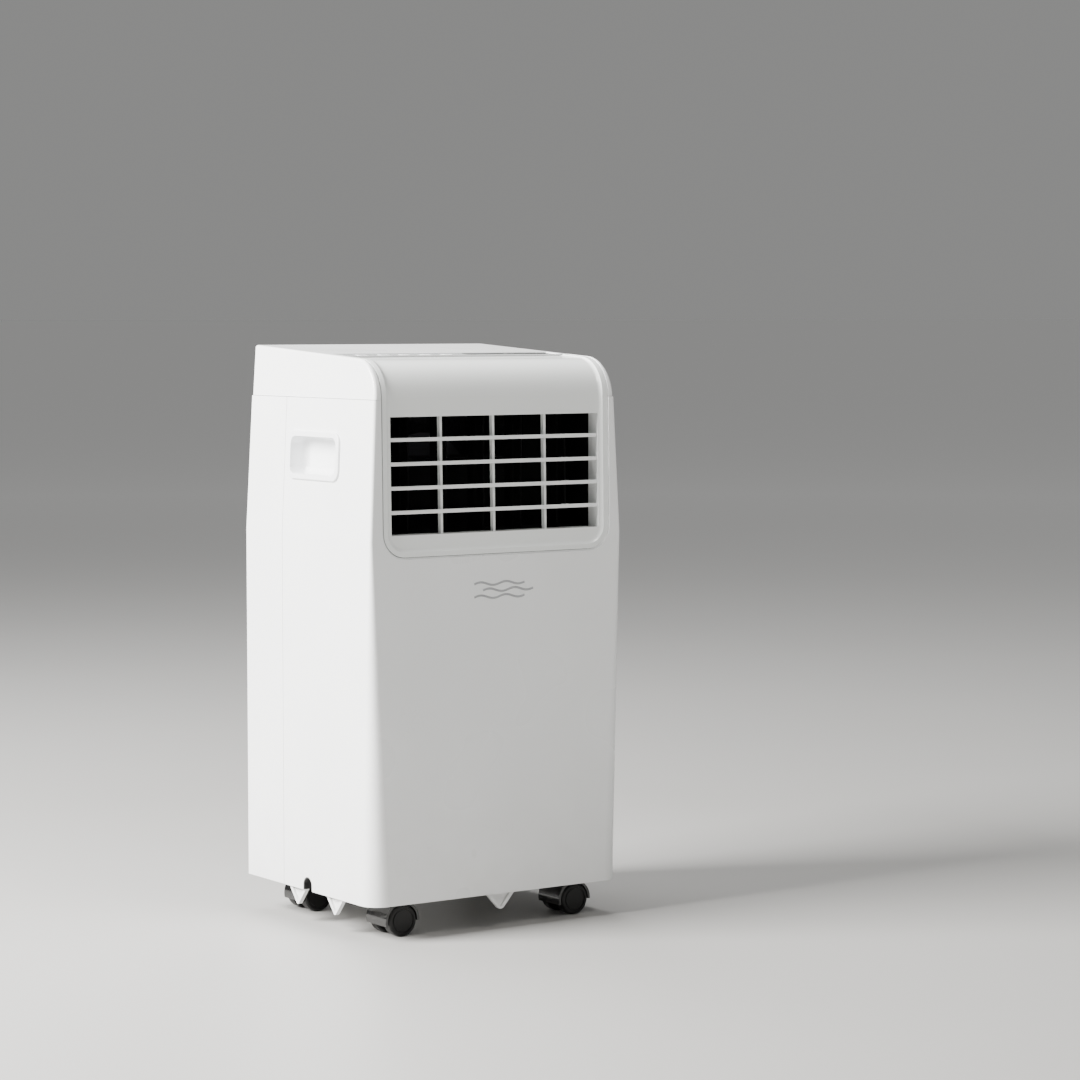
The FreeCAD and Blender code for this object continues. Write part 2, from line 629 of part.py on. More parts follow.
def outlet_panel():
    wide = PANEL_HALF + 5
    slab = skin(panel_form(PANEL_SINK, wide), panel_form(PANEL_DISH + PANEL_SINK + WALL, wide))
    slab = slab.common(panel_outline(0, PANEL_END_Y))
    lip = skin(panel_form(PANEL_SINK, wide), panel_form(LIP_DEPTH, wide))
    lip = lip.common(skin(panel_outline(0, PANEL_END_Y), panel_outline(-2.0, PANEL_END_Y + 5)))
    dish = skin(panel_form(-12.0, wide), panel_form(PANEL_DISH + PANEL_SINK, wide))
    dish = dish.common(panel_outline(-PANEL_BORDER, PANEL_END_Y + 10))
    floor_edges = []
    for edge in dish.Edges:
        middle = edge.valueAt((edge.FirstParameter + edge.LastParameter) / 2)
        across = edge.BoundBox.XLength > PANEL_HALF and middle.z > PANEL_Z + PANEL_BORDER + 1
        if abs(dish_depth(middle)) < 0.05 and middle.y < PANEL_END_Y + 9 and not across:
            floor_edges.append(edge)
    dish = dish.makeFillet(PANEL_COVE, floor_edges)
    wall = DUCT_WALL
    sleeve = box(-OPEN_HALF - wall, OPEN_HALF + wall, FRONT_Y, RETURN_Y, OPEN_LOW - wall, OPEN_TOP + wall)
    sleeve = sleeve.common(panel_form(PANEL_SINK + PANEL_DISH + 0.5, wide))
    hole = box(-OPEN_HALF, OPEN_HALF, FRONT_Y - 5, RETURN_Y + 5, OPEN_LOW, OPEN_TOP)
    body = fuse([slab.cut(dish), lip, sleeve]).cut(hole)
    stays = []
    for x in stay_places():
        line = [(z, panel_front(z) + BLADE_PIVOT) for z in (OPEN_LOW - 1, OPEN_TOP + 1)]
        outline = [(y - STAY_AHEAD, z) for z, y in line] + [(y + STAY_BACK, z) for z, y in reversed(line)]
        stays.append(extrude_yz(outline, x - STAY_THICK / 2, x + STAY_THICK / 2))
    body = fuse([body] + stays)
    reach = OPEN_HALF + wall + 1
    return cut(body, [rod(PIN_R + RUN, V(-reach, y, z), V(reach, y, z)) for y, z in blade_places()])


def dish_depth(point):
    """How far a point lies behind the dished face; 0 on it."""
    inset = PANEL_DISH + PANEL_SINK
    tilt = panel_tilt()
    (low_y, low_z), _, (high_y, high_z) = brow(inset, tilt)
    if point.z < low_z and point.y < high_y:
        return point.y - low_y + (low_z - point.z) * math.tan(tilt)
    if point.y < high_y:
        centre_y = FRONT_Y + FRONT_LEAN + LID_STEP + TOP_R
        centre_z = brow(0, 0)[0][1]
        return TOP_R - inset - math.hypot(point.y - centre_y, point.z - centre_z)
    return top_line(point.y, inset) - point.z


def louvre_blade(index):
    y, z = blade_places()[index]
    half = OPEN_HALF - 0.8
    lip = STAY_AHEAD + 2.3
    t = BLADE_THICK / 2
    h = BLADE_LIP_HEIGHT / 2
    plate = extrude_yz([(y - lip - 0.5, z - t), (y - lip - 0.5, z + t),
                        (y + BLADE_BACK, z + t * 0.6), (y + BLADE_BACK, z - t * 0.6)], -half, half)
    front = box(-half, half, y - lip - BLADE_LIP, y - lip, z - h, z + h)
    front = front.makeFillet(1.2, [e for e in front.Edges if e.BoundBox.XLength > half])
    slots = []
    for x in stay_places():
        gap = STAY_THICK / 2 + STAY_GAP
        slots.append(box(x - gap, x + gap, y - lip, y + BLADE_BACK + 1, z - h - 1, z + h + 1))
    gap = LINK_THICK / 2 + 0.5
    slots.append(box(LINK_X - gap, LINK_X + gap, y + LINK_PIN - 4, y + BLADE_BACK + 1, z - h, z + h))
    blade = cut(fuse([plate, front]), slots)
    ears = []
    for side in (-1, 1):
        x0, x1 = sorted((LINK_X + side * gap, LINK_X + side * (gap + EAR)))
        ears.append(box(x0, x1, y + BLADE_BACK - 3, y + LINK_PIN + 1.6, z - 1.7, z + 1.7))
    pin = rod(LINK_PIN_R, V(LINK_X - gap - 0.5, y + LINK_PIN, z), V(LINK_X + gap + 0.5, y + LINK_PIN, z))
    ends = [rod(PIN_R, V(s * (half - 1), y, z), V(s * (OPEN_HALF + 2.0), y, z)) for s in (-1, 1)]
    return fuse([blade] + ears + [pin] + ends)


def louvre_link():
    places = blade_places()
    (y0, z0), (y1, z1) = places[0], places[-1]
    near = LINK_PIN - LINK_WIDTH / 2
    far = LINK_PIN + LINK_WIDTH / 2
    outline = [(y0 + near, z0 - 3), (y0 + far, z0 - 3), (y1 + far, z1 + 3), (y1 + near, z1 + 3)]
    bar = extrude_yz(outline, LINK_X - LINK_THICK / 2, LINK_X + LINK_THICK / 2)
    holes = []
    for y, z in places:
        holes.append(rod(LINK_PIN_R + RUN, V(LINK_X - 5, y + LINK_PIN, z), V(LINK_X + 5, y + LINK_PIN, z)))
    return cut(bar, holes)


def air_duct():
    wall = DUCT_WALL
    outer = box(-OPEN_HALF - wall, OPEN_HALF + wall, RETURN_Y, DUCT_END_Y, OPEN_LOW - wall, OPEN_TOP + wall)
    inner = box(-OPEN_HALF, OPEN_HALF, RETURN_Y - 1, DUCT_END_Y - wall, OPEN_LOW, OPEN_TOP)
    neck = box(-NECK_WIDTH / 2, NECK_WIDTH / 2, DUCT_END_Y - 5, DUCT_END_Y + 5,
               OPEN_TOP - NECK_HEIGHT, OPEN_TOP)
    low, high = OPEN_LOW - wall - 1, OPEN_TOP + wall + 1
    pins = [rod(VANE_PIN_R + RUN, V(x, VANE_Y, low), V(x, VANE_Y, high)) for x in vane_places()]
    return cut(outer, [inner, neck] + pins)


def vane_link_height():
    return OPEN_LOW + 22.0


def vane(index):
    x = vane_places()[index]
    half = VANE_CHORD / 2
    low, high = OPEN_LOW + 0.8, OPEN_TOP - 0.8
    plate = box(x - VANE_THICK / 2, x + VANE_THICK / 2, VANE_Y - half, VANE_Y + half, low, high)
    plate = plate.makeFillet(0.9, [e for e in plate.Edges if e.BoundBox.ZLength > 50])
    z = vane_link_height()
    slot = box(x - 5, x + 5, VANE_Y + half - 4, VANE_Y + half + 1, z - 1.7, z + 1.7)
    ears = []
    for side in (-1, 1):
        z0, z1 = sorted((z + side * 1.7, z + side * (1.7 + EAR)))
        ears.append(box(x - 1.7, x + 1.7, VANE_Y + half - 3, VANE_Y + half + 3, z0, z1))
    pin = rod(LINK_PIN_R, V(x, VANE_Y + half + 1.4, z - 2.2), V(x, VANE_Y + half + 1.4, z + 2.2))
    hub = rod(VANE_PIN_R + 0.8, V(x, VANE_Y, low), V(x, VANE_Y, high))
    ends = rod(VANE_PIN_R, V(x, VANE_Y, OPEN_LOW - DUCT_WALL), V(x, VANE_Y, OPEN_TOP + DUCT_WALL))
    return fuse([plate.cut(slot)] + ears + [pin, hub, ends])


def vane_link():
    z = vane_link_height()
    y = VANE_Y + VANE_CHORD / 2 + 1.4
    places = vane_places()
    bar = box(places[0] - 4, places[-1] + 4, y - 2.2, y + 2.2, z - 1.2, z + 1.2)
    return cut(bar, [rod(LINK_PIN_R + RUN, V(x, y, z - 5), V(x, y, z + 5)) for x in places])


# ---- controls -------------------------------------------------------------------------
def control_panel():
    half, depth = CONTROL_WIDTH / 2, CONTROL_DEPTH / 2
    plate = box(-half, half, -depth, depth, -WALL - 1, -CONTROL_SINK)
    flange = box(-half - CONTROL_LIP, half + CONTROL_LIP, -depth - CONTROL_LIP, depth + CONTROL_LIP,
                 -WALL - 2, -WALL)
    posts = []
    for x in (-half + POST_IN, half - POST_IN):
        for y in (-depth + POST_IN, depth - POST_IN):
            posts.append(rod(POST_R, V(x, y, -BOARD_DROP), V(x, y, -WALL - 1)))
    cutters = [rod(BUTTON_R + FIT, V(x, 0, -20), V(x, 0, 5)) for x in BUTTON_X]
    w, d = DISPLAY_WIDTH / 2 + FIT, DISPLAY_DEPTH / 2 + FIT
    cutters.append(box(DISPLAY_X - w, DISPLAY_X + w, -d, d, -WALL - 0.5, 5))
    return on_top(cut(fuse([plate, flange] + posts), cutters))


def display_window():
    w, d = DISPLAY_WIDTH / 2, DISPLAY_DEPTH / 2
    return on_top(box(DISPLAY_X - w, DISPLAY_X + w, -d, d, -WALL - 0.5, -CONTROL_SINK + DISPLAY_PROUD))


def button(x):
    top = -CONTROL_SINK + BUTTON_PROUD
    low = -BOARD_DROP + SWITCH_HEIGHT + BUTTON_TRAVEL + FIT
    cap = rod(BUTTON_R, V(x, 0, low), V(x, 0, top))
    cap = cap.makeFillet(BUTTON_TRAVEL / 2, [e for e in cap.Edges if e.BoundBox.ZMin > top - 0.1])
    flange = rod(BUTTON_R + BUTTON_FLANGE, V(x, 0, low), V(x, 0, -WALL - 2 - FIT))
    return on_top(fuse([cap, flange]))


def control_board():
    half, depth = CONTROL_WIDTH / 2 - BOARD_IN, CONTROL_DEPTH / 2 - BOARD_IN
    board = box(-half, half, -depth, depth, -BOARD_DROP - BOARD_THICK, -BOARD_DROP)
    s = SWITCH_HALF
    switches = [box(x - s, x + s, -s, s, -BOARD_DROP, -BOARD_DROP + SWITCH_HEIGHT) for x in BUTTON_X]
    return on_top(fuse([board] + switches))


# ---- base tray and casters --------------------------------------------------------------
def side_tab(y):
    """Hollow V-shaped foot that hangs under the side of the tray."""
    x0 = WIDTH / 2 - TRAY_INSET - 0.5 - TAB_DEPTH
    x1 = x0 + TAB_DEPTH
    half = TAB_WIDTH / 2
    body = extrude_yz([(y - half, TRAY_Z), (y, TAB_TIP_Z), (y + half, TRAY_Z)], x0, x1)
    tip = [e for e in body.Edges if e.BoundBox.ZMax < TAB_TIP_Z + 0.1]
    body = body.makeFillet(3.0, tip)
    inside = [(y - half + TAB_RIM, TRAY_Z), (y, TAB_TIP_Z + TAB_RIM), (y + half - TAB_RIM, TRAY_Z)]
    inner = extrude_yz(inside, x0 + 2, x1 + 1)
    boss = rod(TAB_BOSS_R, V(x0 + 1, y, TAB_BOSS_Z), V(x1 - 3, y, TAB_BOSS_Z))
    return fuse([body.cut(inner), boss])


def front_tab():
    y0 = FRONT_Y + TRAY_INSET + 1.0
    half = TAB_WIDTH / 2
    points = [V(TAB_FRONT_X - half, y0, TRAY_Z), V(TAB_FRONT_X, y0, TAB_TIP_Z), V(TAB_FRONT_X + half, y0, TRAY_Z)]
    body = Part.Face(Part.makePolygon(points + points[:1])).extrude(V(0, TAB_DEPTH, 0))
    tip = [e for e in body.Edges if e.BoundBox.ZMax < TAB_TIP_Z + 0.1]
    body = body.makeFillet(6.0, tip)
    inner = [V(TAB_FRONT_X - half + TAB_RIM, y0 - 1, TRAY_Z), V(TAB_FRONT_X, y0 - 1, TAB_TIP_Z + TAB_RIM),
             V(TAB_FRONT_X + half - TAB_RIM, y0 - 1, TRAY_Z)]
    hollow = Part.Face(Part.makePolygon(inner + inner[:1])).extrude(V(0, TAB_DEPTH - 1, 0))
    boss = rod(TAB_BOSS_R, V(TAB_FRONT_X, y0 + 3, TAB_BOSS_Z), V(TAB_FRONT_X, y0 + TAB_DEPTH - 1, TAB_BOSS_Z))
    return fuse([body.cut(hollow), boss])


def stem_places():
    x = WIDTH / 2 - STEM_IN_X
    y = DEPTH / 2 - STEM_IN_Y
    return {"front_left": (-x, -y), "front_right": (x, -y), "rear_left": (-x, y), "rear_right": (x, y)}


def base_tray():
    top = TRAY_Z + TRAY_HEIGHT
    pan = skin(casing_block(TRAY_INSET, TRAY_Z, top), casing_block(TRAY_INSET + WALL, TRAY_Z + TRAY_FLOOR, top + 1))
    tabs = [side_tab(y) for y in TAB_Y]
    tabs += [mirror_x(tab) for tab in tabs]
    stems = stem_places().values()
    sockets = [rod(SOCKET_R, V(x, y, TRAY_Z + 1), V(x, y, TRAY_Z + STEM_LENGTH + SOCKET_CAP)) for x, y in stems]
    tray = fuse([pan, front_tab()] + tabs + sockets)
    cutters = [rod(STEM_R + RUN, V(x, y, 0), V(x, y, TRAY_Z + STEM_LENGTH + 1)) for x, y in stems]
    cutters += [notch(-1), notch(1)]
    cutters.append(rod(DRAIN_R - DRAIN_STEP + FIT, V(0, REAR_Y - DRAIN_SHANK - 4, DRAIN_Z), V(0, REAR_Y, DRAIN_Z)))
    return cut(tray, cutters)


def extrude_xz(points, width):
    corners = [V(x, -width / 2, z) for x, z in points]
    return Part.Face(Part.makePolygon(corners + corners[:1])).extrude(V(0, width, 0))


def fender(outer, inner, half_span):
    """Part of a ring round the axle: from just below the axle in front, over the top, to the tail."""
    ring = rod(outer, V(0, -half_span, 0), V(0, half_span, 0))
    if inner:
        ring = ring.cut(rod(inner, V(0, -half_span - 1, 0), V(0, half_span + 1, 0)))
    reach = 1.6 * outer
    keep = [(0, 0), (reach, -0.1 * outer), (reach, reach), (-reach, reach), (-reach, -0.4 * outer)]
    return ring.common(extrude_xz(keep, 4 * half_span))


def caster_fork(x, y):
    """Twin-wheel caster body drawn round its axle: web, fender, swivel stem and axle."""
    outer = WHEEL_R + FENDER_GAP + FENDER
    face = WEB_HALF + WHEEL_GAP + WHEEL_WIDTH
    ceiling = BASE_Z - CASTER_ROOM / 2 - WHEEL_R
    hub = rod(WEB_HUB_R, V(0, -WEB_HALF, 0), V(0, WEB_HALF, 0))
    body = fuse([hub, fender(outer - FENDER / 2, 0, WEB_HALF), fender(outer, outer - FENDER, face - FENDER_SHORT)])
    body = body.common(box(-60, 60, -60, 60, -60, ceiling))
    boss = rod(BOSS_R, V(-TRAIL, 0, AXLE_R + 1), V(-TRAIL, 0, ceiling))
    stem = rod(STEM_R, V(-TRAIL, 0, AXLE_R + 5), V(-TRAIL, 0, TRAY_Z + STEM_LENGTH - WHEEL_R))
    wheel_space = []
    for side in (-1, 1):
        a, b = sorted((side * (WEB_HALF + 0.01), side * 40))
        wheel_space.append(rod(WHEEL_R + FENDER_GAP, V(0, a, 0), V(0, b, 0)))
    boss = cut(boss, wheel_space)
    axle = rod(AXLE_R, V(0, -face + AXLE_SHORT, 0), V(0, face - AXLE_SHORT, 0))
    fork = fuse([body, boss, stem, axle])
    fork.translate(V(x + TRAIL, y, WHEEL_R))
    return fork


def caster_wheel(x, y, side):
    near = WEB_HALF + WHEEL_GAP
    far = near + WHEEL_WIDTH
    tyre = rod(WHEEL_R, V(0, near, 0), V(0, far, 0))
    tread = [e for e in tyre.Edges if e.BoundBox.YLength < 0.1 and e.BoundBox.XLength > 1]
    tyre = tyre.makeFillet(WHEEL_EDGE, tread)
    dish = rod(WHEEL_R - WHEEL_RING, V(0, far - WHEEL_DISH, 0), V(0, far + 1, 0))
    cap = rod(WHEEL_CAP_R, V(0, far - WHEEL_DISH - 1, 0), V(0, far - 0.3, 0))
    bore = rod(AXLE_R + RUN, V(0, near - 1, 0), V(0, far - AXLE_SHORT + FIT, 0))
    wheel = fuse([tyre.cut(dish), cap]).cut(bore)
    if side < 0:
        wheel = wheel.mirror(V(0, 0, 0), V(0, 1, 0))
    wheel.translate(V(x + TRAIL, y, WHEEL_R))
    return wheel


# ---- rear pieces --------------------------------------------------------------------------
def grille(low, high, half):
    """Framed grille of level slots that follows the rear wall."""
    slab = skin(casing_block(GRILLE_SINK, low, high), casing_block(GRILLE_SINK + GRILLE_THICK, low - 1, high + 1))
    slab = slab.common(box(-half, half, REAR_Y - 20, REAR_Y + 5, low, high))
    cell = (2 * half - 2 * GRILLE_FRAME - 2 * GRILLE_RIB) / 3
    rows = int((high - low - 2 * GRILLE_FRAME) // SLOT_PITCH)
    first = (low + high) / 2 - SLOT_PITCH * (rows - 1) / 2
    slots = []
    for row in range(rows):
        z = first + row * SLOT_PITCH
        for column in (-1, 0, 1):
            x = column * (cell + GRILLE_RIB)
            slots.append(box(x - cell / 2, x + cell / 2, REAR_Y - 20, REAR_Y + 5,
                             z - SLOT_HEIGHT / 2, z + SLOT_HEIGHT / 2))
    return cut(slab, slots)


def filter_sheet(low, high, half):
    inset = GRILLE_SINK + GRILLE_THICK
    sheet = skin(casing_block(inset, low, high), casing_block(inset + MESH_THICK, low - 1, high + 1))
    return sheet.common(box(-half, half, REAR_Y - 20, REAR_Y + 5, low, high))


def filter_panel():
    half = GRILLE_HALF - FIT - 0.2
    panel = grille(FILTER_LOW + FILTER_SWEEP, FILTER_TOP - 1.0, half)
    pins = [rod(FILTER_PIN_R, V(s * (half - 3), FILTER_PIN_Y, FILTER_PIN_Z),
                V(s * (GRILLE_HALF + 3.5), FILTER_PIN_Y, FILTER_PIN_Z)) for s in (-1, 1)]
    return fuse([panel] + pins)


def filter_mesh():
    return filter_sheet(FILTER_LOW + 6, FILTER_TOP - 5, GRILLE_HALF - 6)


def lower_grille():
    low, high = LOWER_GRILLE_Z, LOWER_GRILLE_Z + LOWER_GRILLE_HEIGHT
    plate = grille(low + FIT, high - FIT, GRILLE_HALF - FIT)
    rim = box(-GRILLE_HALF - 4, GRILLE_HALF + 4, REAR_Y - WALL - 2, REAR_Y - WALL, low - 0.5, high + 4)
    rim = rim.cut(box(-GRILLE_HALF + 3, GRILLE_HALF - 3, REAR_Y - 10, REAR_Y, low + 3, high - 3))
    return fuse([plate, rim])


def lower_mesh():
    low, high = LOWER_GRILLE_Z, LOWER_GRILLE_Z + LOWER_GRILLE_HEIGHT
    return filter_sheet(low + 4, high - 4, GRILLE_HALF - 4)


def exhaust_collar():
    start, end = REAR_Y - COLLAR_LENGTH, REAR_Y - REAR_SHORT
    tube = rod(COLLAR_R, V(HOSE_X, start, HOSE_Z), V(HOSE_X, end, HOSE_Z))
    flange = rod(FLANGE_R, V(HOSE_X, REAR_Y - WALL - FLANGE_THICK, HOSE_Z), V(HOSE_X, REAR_Y - WALL, HOSE_Z))
    return fuse([tube, flange]).cut(rod(HOSE_R, V(HOSE_X, start - 1, HOSE_Z), V(HOSE_X, end + 1, HOSE_Z)))


def drain_plug():
    seat = REAR_Y - TRAY_INSET
    cap = rod(DRAIN_R, V(0, seat, DRAIN_Z), V(0, REAR_Y - REAR_SHORT, DRAIN_Z))
    shank = rod(DRAIN_R - DRAIN_STEP, V(0, REAR_Y - DRAIN_SHANK, DRAIN_Z), V(0, seat, DRAIN_Z))
    floor = REAR_Y - REAR_SHORT - DRAIN_HOLLOW
    hollow = rod(DRAIN_R - DRAIN_RIM, V(0, floor, DRAIN_Z), V(0, REAR_Y, DRAIN_Z))
    reach = DRAIN_R - DRAIN_RIM - FIT
    grip = box(-reach, reach, floor, REAR_Y, DRAIN_Z - DRAIN_HOLLOW, DRAIN_Z + DRAIN_HOLLOW)
    return fuse([cap, shank]).cut(hollow.cut(grip))


def cord_gland():
    body = rod(GLAND_R, V(GLAND_X, REAR_Y - GLAND_LENGTH, GLAND_Z), V(GLAND_X, REAR_Y - REAR_SHORT, GLAND_Z))
    flange = rod(GLAND_R + FLANGE_THICK, V(GLAND_X, REAR_Y - WALL - FLANGE_THICK, GLAND_Z), V(GLAND_X, REAR_Y - WALL, GLAND_Z))
    hole = rod(CORD_R, V(GLAND_X, REAR_Y - GLAND_LENGTH - 1, GLAND_Z), V(GLAND_X, REAR_Y + 1, GLAND_Z))
    return fuse([body, flange]).cut(hole)


def screws():
    return Part.makeCompound([screw(x, z) for x, z in screw_places()])


# ---- inside -----------------------------------------------------------------------------------
def partition_tray():
    half = WIDTH / 2 - WALL - FIT - TONGUE - 1
    rear = REAR_Y - WALL - 14
    front = FRONT_Y + 60
    plate = box(-half, half, front, rear, FLOOR_Z, FLOOR_Z + FLOOR_THICK)
    rim = box(-half, half, front, rear, FLOOR_Z, FLOOR_Z + 14)
    rim = rim.cut(box(-half + 2, half - 2, front + 2, rear - 2, FLOOR_Z, FLOOR_Z + 15))
    x, y = riser_place()
    return cut(fuse([plate, rim]), [rod(PIPE_R + 3, V(x, y, FLOOR_Z - 1), V(x, y, FLOOR_Z + 5))])


def riser_place():
    return -EVAP_SCROLL_WIDTH / 2 - 34, 70.0


def blower_wheel(centre, radius, width, blades, shaft_end):
    """Centrifugal wheel turning about Y, back disc towards the front, with its shaft."""
    x, y, z = centre.x, centre.y, centre.z
    disc = rod(radius, centre, V(x, y + 2, z))
    ring = rod(radius, V(x, y + width - 3, z), V(x, y + width, z))
    ring = ring.cut(rod(radius - 10, V(x, y + width - 4, z), V(x, y + width + 1, z)))
    hub = rod(12.0, centre, V(x, y + 18, z))
    parts = [disc, ring, hub, rod(SHAFT_R, V(x, shaft_end, z), V(x, y + 10, z))]
    for index in range(blades):
        blade = box(radius - 10, radius - 0.6, 0, width - 1, -0.8, 0.8)
        blade.rotate(V(radius - 5, 0, 0), V(0, 1, 0), 35)
        blade = blade.common(rod(radius - 0.1, V(0, -1, 0), V(0, width, 0)))
        blade.rotate(V(0, 0, 0), V(0, 1, 0), 360.0 * index / blades)
        blade.translate(centre)
        parts.append(blade)
    return fuse(parts)


def motor(centre):
    """Fan motor in front of a scroll; centre is on the scroll's front wall."""
    x, y, z = centre.x, centre.y, centre.z
    can = rod(MOTOR_R, V(x, y - MOTOR_LENGTH, z), centre)
    can = can.makeFillet(4.0, [e for e in can.Edges if e.BoundBox.YMax < y - MOTOR_LENGTH + 0.1])
    bore = rod(SHAFT_R + RUN, V(x, y - MOTOR_LENGTH + 6, z), V(x, y + 1, z))
    return can.cut(bore)


def evaporator_scroll():
    half = EVAP_SCROLL_WIDTH / 2
    low, high = FLOOR_Z + FLOOR_THICK, OPEN_TOP + DUCT_WALL
    y0, y1 = EVAP_SCROLL_Y, EVAP_SCROLL_Y + SCROLL_DEPTH
    w = SCROLL_WALL
    outer = box(-half, half, y0, y1, low, high)
    inner = box(-half + w, half - w, y0 + w, y1 - w, low + w, high - w)
    neck_low = OPEN_TOP - NECK_HEIGHT
    neck = box(-NECK_WIDTH / 2 - w, NECK_WIDTH / 2 + w, DUCT_END_Y, y0 + 1, neck_low - w, high)
    passage = box(-NECK_WIDTH / 2, NECK_WIDTH / 2, DUCT_END_Y - 1, y0 + w + 1, neck_low, high - w)
    inlet = rod(EVAP_WHEEL_R - 10, V(0, y1 - 5, EVAP_Z), V(0, y1 + 5, EVAP_Z))
    shaft = rod(SHAFT_R + 2, V(0, y0 - 5, EVAP_Z), V(0, y0 + 5, EVAP_Z))
    return cut(fuse([outer, neck]), [inner, passage, inlet, shaft])


def condenser_scroll():
    half = COND_SCROLL_WIDTH / 2
    w = SCROLL_WALL
    y0, y1 = COND_SCROLL_Y, COND_SCROLL_Y + SCROLL_DEPTH
    low = COND_WHEEL_Z - COND_WHEEL_R - SCROLL_ROOM
    mid = COND_WHEEL_Z + COND_WHEEL_R + SCROLL_ROOM
    duct_end = REAR_Y - COLLAR_LENGTH
    outer = box(HOSE_X - half, HOSE_X + half, y0, y1, low, mid)
    duct = box(HOSE_X - half, HOSE_X + half, y0, duct_end, mid, FLOOR_Z)
    inner = box(HOSE_X - half + w, HOSE_X + half - w, y0 + w, y1 - w, low + w, mid + w + 1)
    space = box(HOSE_X - half + w, HOSE_X + half - w, y0 + w, duct_end - w, mid + w, FLOOR_Z - w)
    inlet = rod(COND_WHEEL_R - 10, V(HOSE_X, y1 - 5, COND_WHEEL_Z), V(HOSE_X, y1 + 5, COND_WHEEL_Z))
    shaft = rod(SHAFT_R + 2, V(HOSE_X, y0 - 5, COND_WHEEL_Z), V(HOSE_X, y0 + 5, COND_WHEEL_Z))
    outlet = rod(HOSE_R - HOSE_STOP, V(HOSE_X, duct_end - 10, HOSE_Z), V(HOSE_X, duct_end + 10, HOSE_Z))
    return cut(fuse([outer, duct]), [inner, space, inlet, shaft, outlet])


def evaporator_wheel():
    y = EVAP_SCROLL_Y + SCROLL_WALL + 6
    return blower_wheel(V(0, y, EVAP_Z), EVAP_WHEEL_R, EVAP_WHEEL_WIDTH, 24, EVAP_SCROLL_Y - MOTOR_LENGTH + 10)


def condenser_wheel():
    y = COND_SCROLL_Y + SCROLL_WALL + 6
    centre = V(HOSE_X, y, COND_WHEEL_Z)
    return blower_wheel(centre, COND_WHEEL_R, COND_WHEEL_WIDTH, 22, COND_SCROLL_Y - MOTOR_LENGTH + 10)


def coil(x0, x1, z0, z1, rear):
    """Finned block with return bends standing out at both ends."""
    y0 = rear - COIL_DEPTH
    block = box(x0, x1, y0, rear, z0, z1)
    bends = []
    pitch = 25.0
    rows = int((z1 - z0 - pitch) // pitch)
    for row in range(rows):
        z = z0 + pitch * (row + 0.75)
        side, end = ((-1, x0), (1, x1))[row % 2]
        ring = Part.makeTorus(pitch / 2, PIPE_R, V(end, rear - COIL_DEPTH / 2, z + pitch / 2), V(0, 1, 0))
        keep = box(*sorted((end, end + side * 40)), y0, rear, z - 10, z + pitch + 10)
        bends.append(ring.common(keep))
    return fuse([block] + bends)


def evaporator_coil():
    rear = REAR_Y - WALL - 18
    return coil(-118, 118, FLOOR_Z + FLOOR_THICK, FILTER_TOP - 4, rear)


def condenser_coil():
    rear = REAR_Y - WALL - 10
    return coil(-118, 118, TRAY_Z + TRAY_FLOOR + 24, LOWER_GRILLE_Z + LOWER_GRILLE_HEIGHT, rear)


def compressor():
    z0 = TRAY_Z + TRAY_FLOOR + MOUNT_HEIGHT
    can = rod(COMPRESSOR_R, V(COMPRESSOR_X, COMPRESSOR_Y, z0), V(COMPRESSOR_X, COMPRESSOR_Y, z0 + COMPRESSOR_HEIGHT))
    ends = [e for e in can.Edges if e.BoundBox.ZLength < 0.1 and e.BoundBox.XLength > 1]
    can = can.makeFillet(COMPRESSOR_ROUND, ends)
    foot = rod(COMPRESSOR_R + COMPRESSOR_FLANGE, V(COMPRESSOR_X, COMPRESSOR_Y, z0), V(COMPRESSOR_X, COMPRESSOR_Y, z0 + 3))
    return fuse([can, foot])


def compressor_mounts():
    mounts = []
    for index in range(3):
        angle = math.radians(90 + 120 * index)
        x = COMPRESSOR_X + (COMPRESSOR_R - 6) * math.cos(angle)
        y = COMPRESSOR_Y + (COMPRESSOR_R - 6) * math.sin(angle)
        z = TRAY_Z + TRAY_FLOOR
        mounts.append(rod(9.0, V(x, y, z), V(x, y, z + MOUNT_HEIGHT)))
    return Part.makeCompound(mounts)


def pipe(points, radius):
    """Round tube of straight runs joined by tangent bends."""
    bend = PIPE_BEND
    edges = []
    last = points[0]
    for before, here, after in zip(points, points[1:], points[2:]):
        into = (here - before).normalize()
        out = (after - here).normalize()
        half_turn = math.acos(max(-1.0, min(1.0, into.dot(out)))) / 2
        back = bend * math.tan(half_turn)
        start, end = here - into * back, here + out * back
        inward = (out - into).normalize()
        centre = here + inward * (bend / math.cos(half_turn))
        edges.append(Part.makeLine(last, start))
        edges.append(Part.Arc(start, centre - inward * bend, end).toShape())
        last = end
    edges.append(Part.makeLine(last, points[-1]))
    path = Part.Wire(edges)
    ring = Part.Wire(Part.makeCircle(radius, points[0], points[1] - points[0]))
    return path.makePipeShell([ring], True, False)


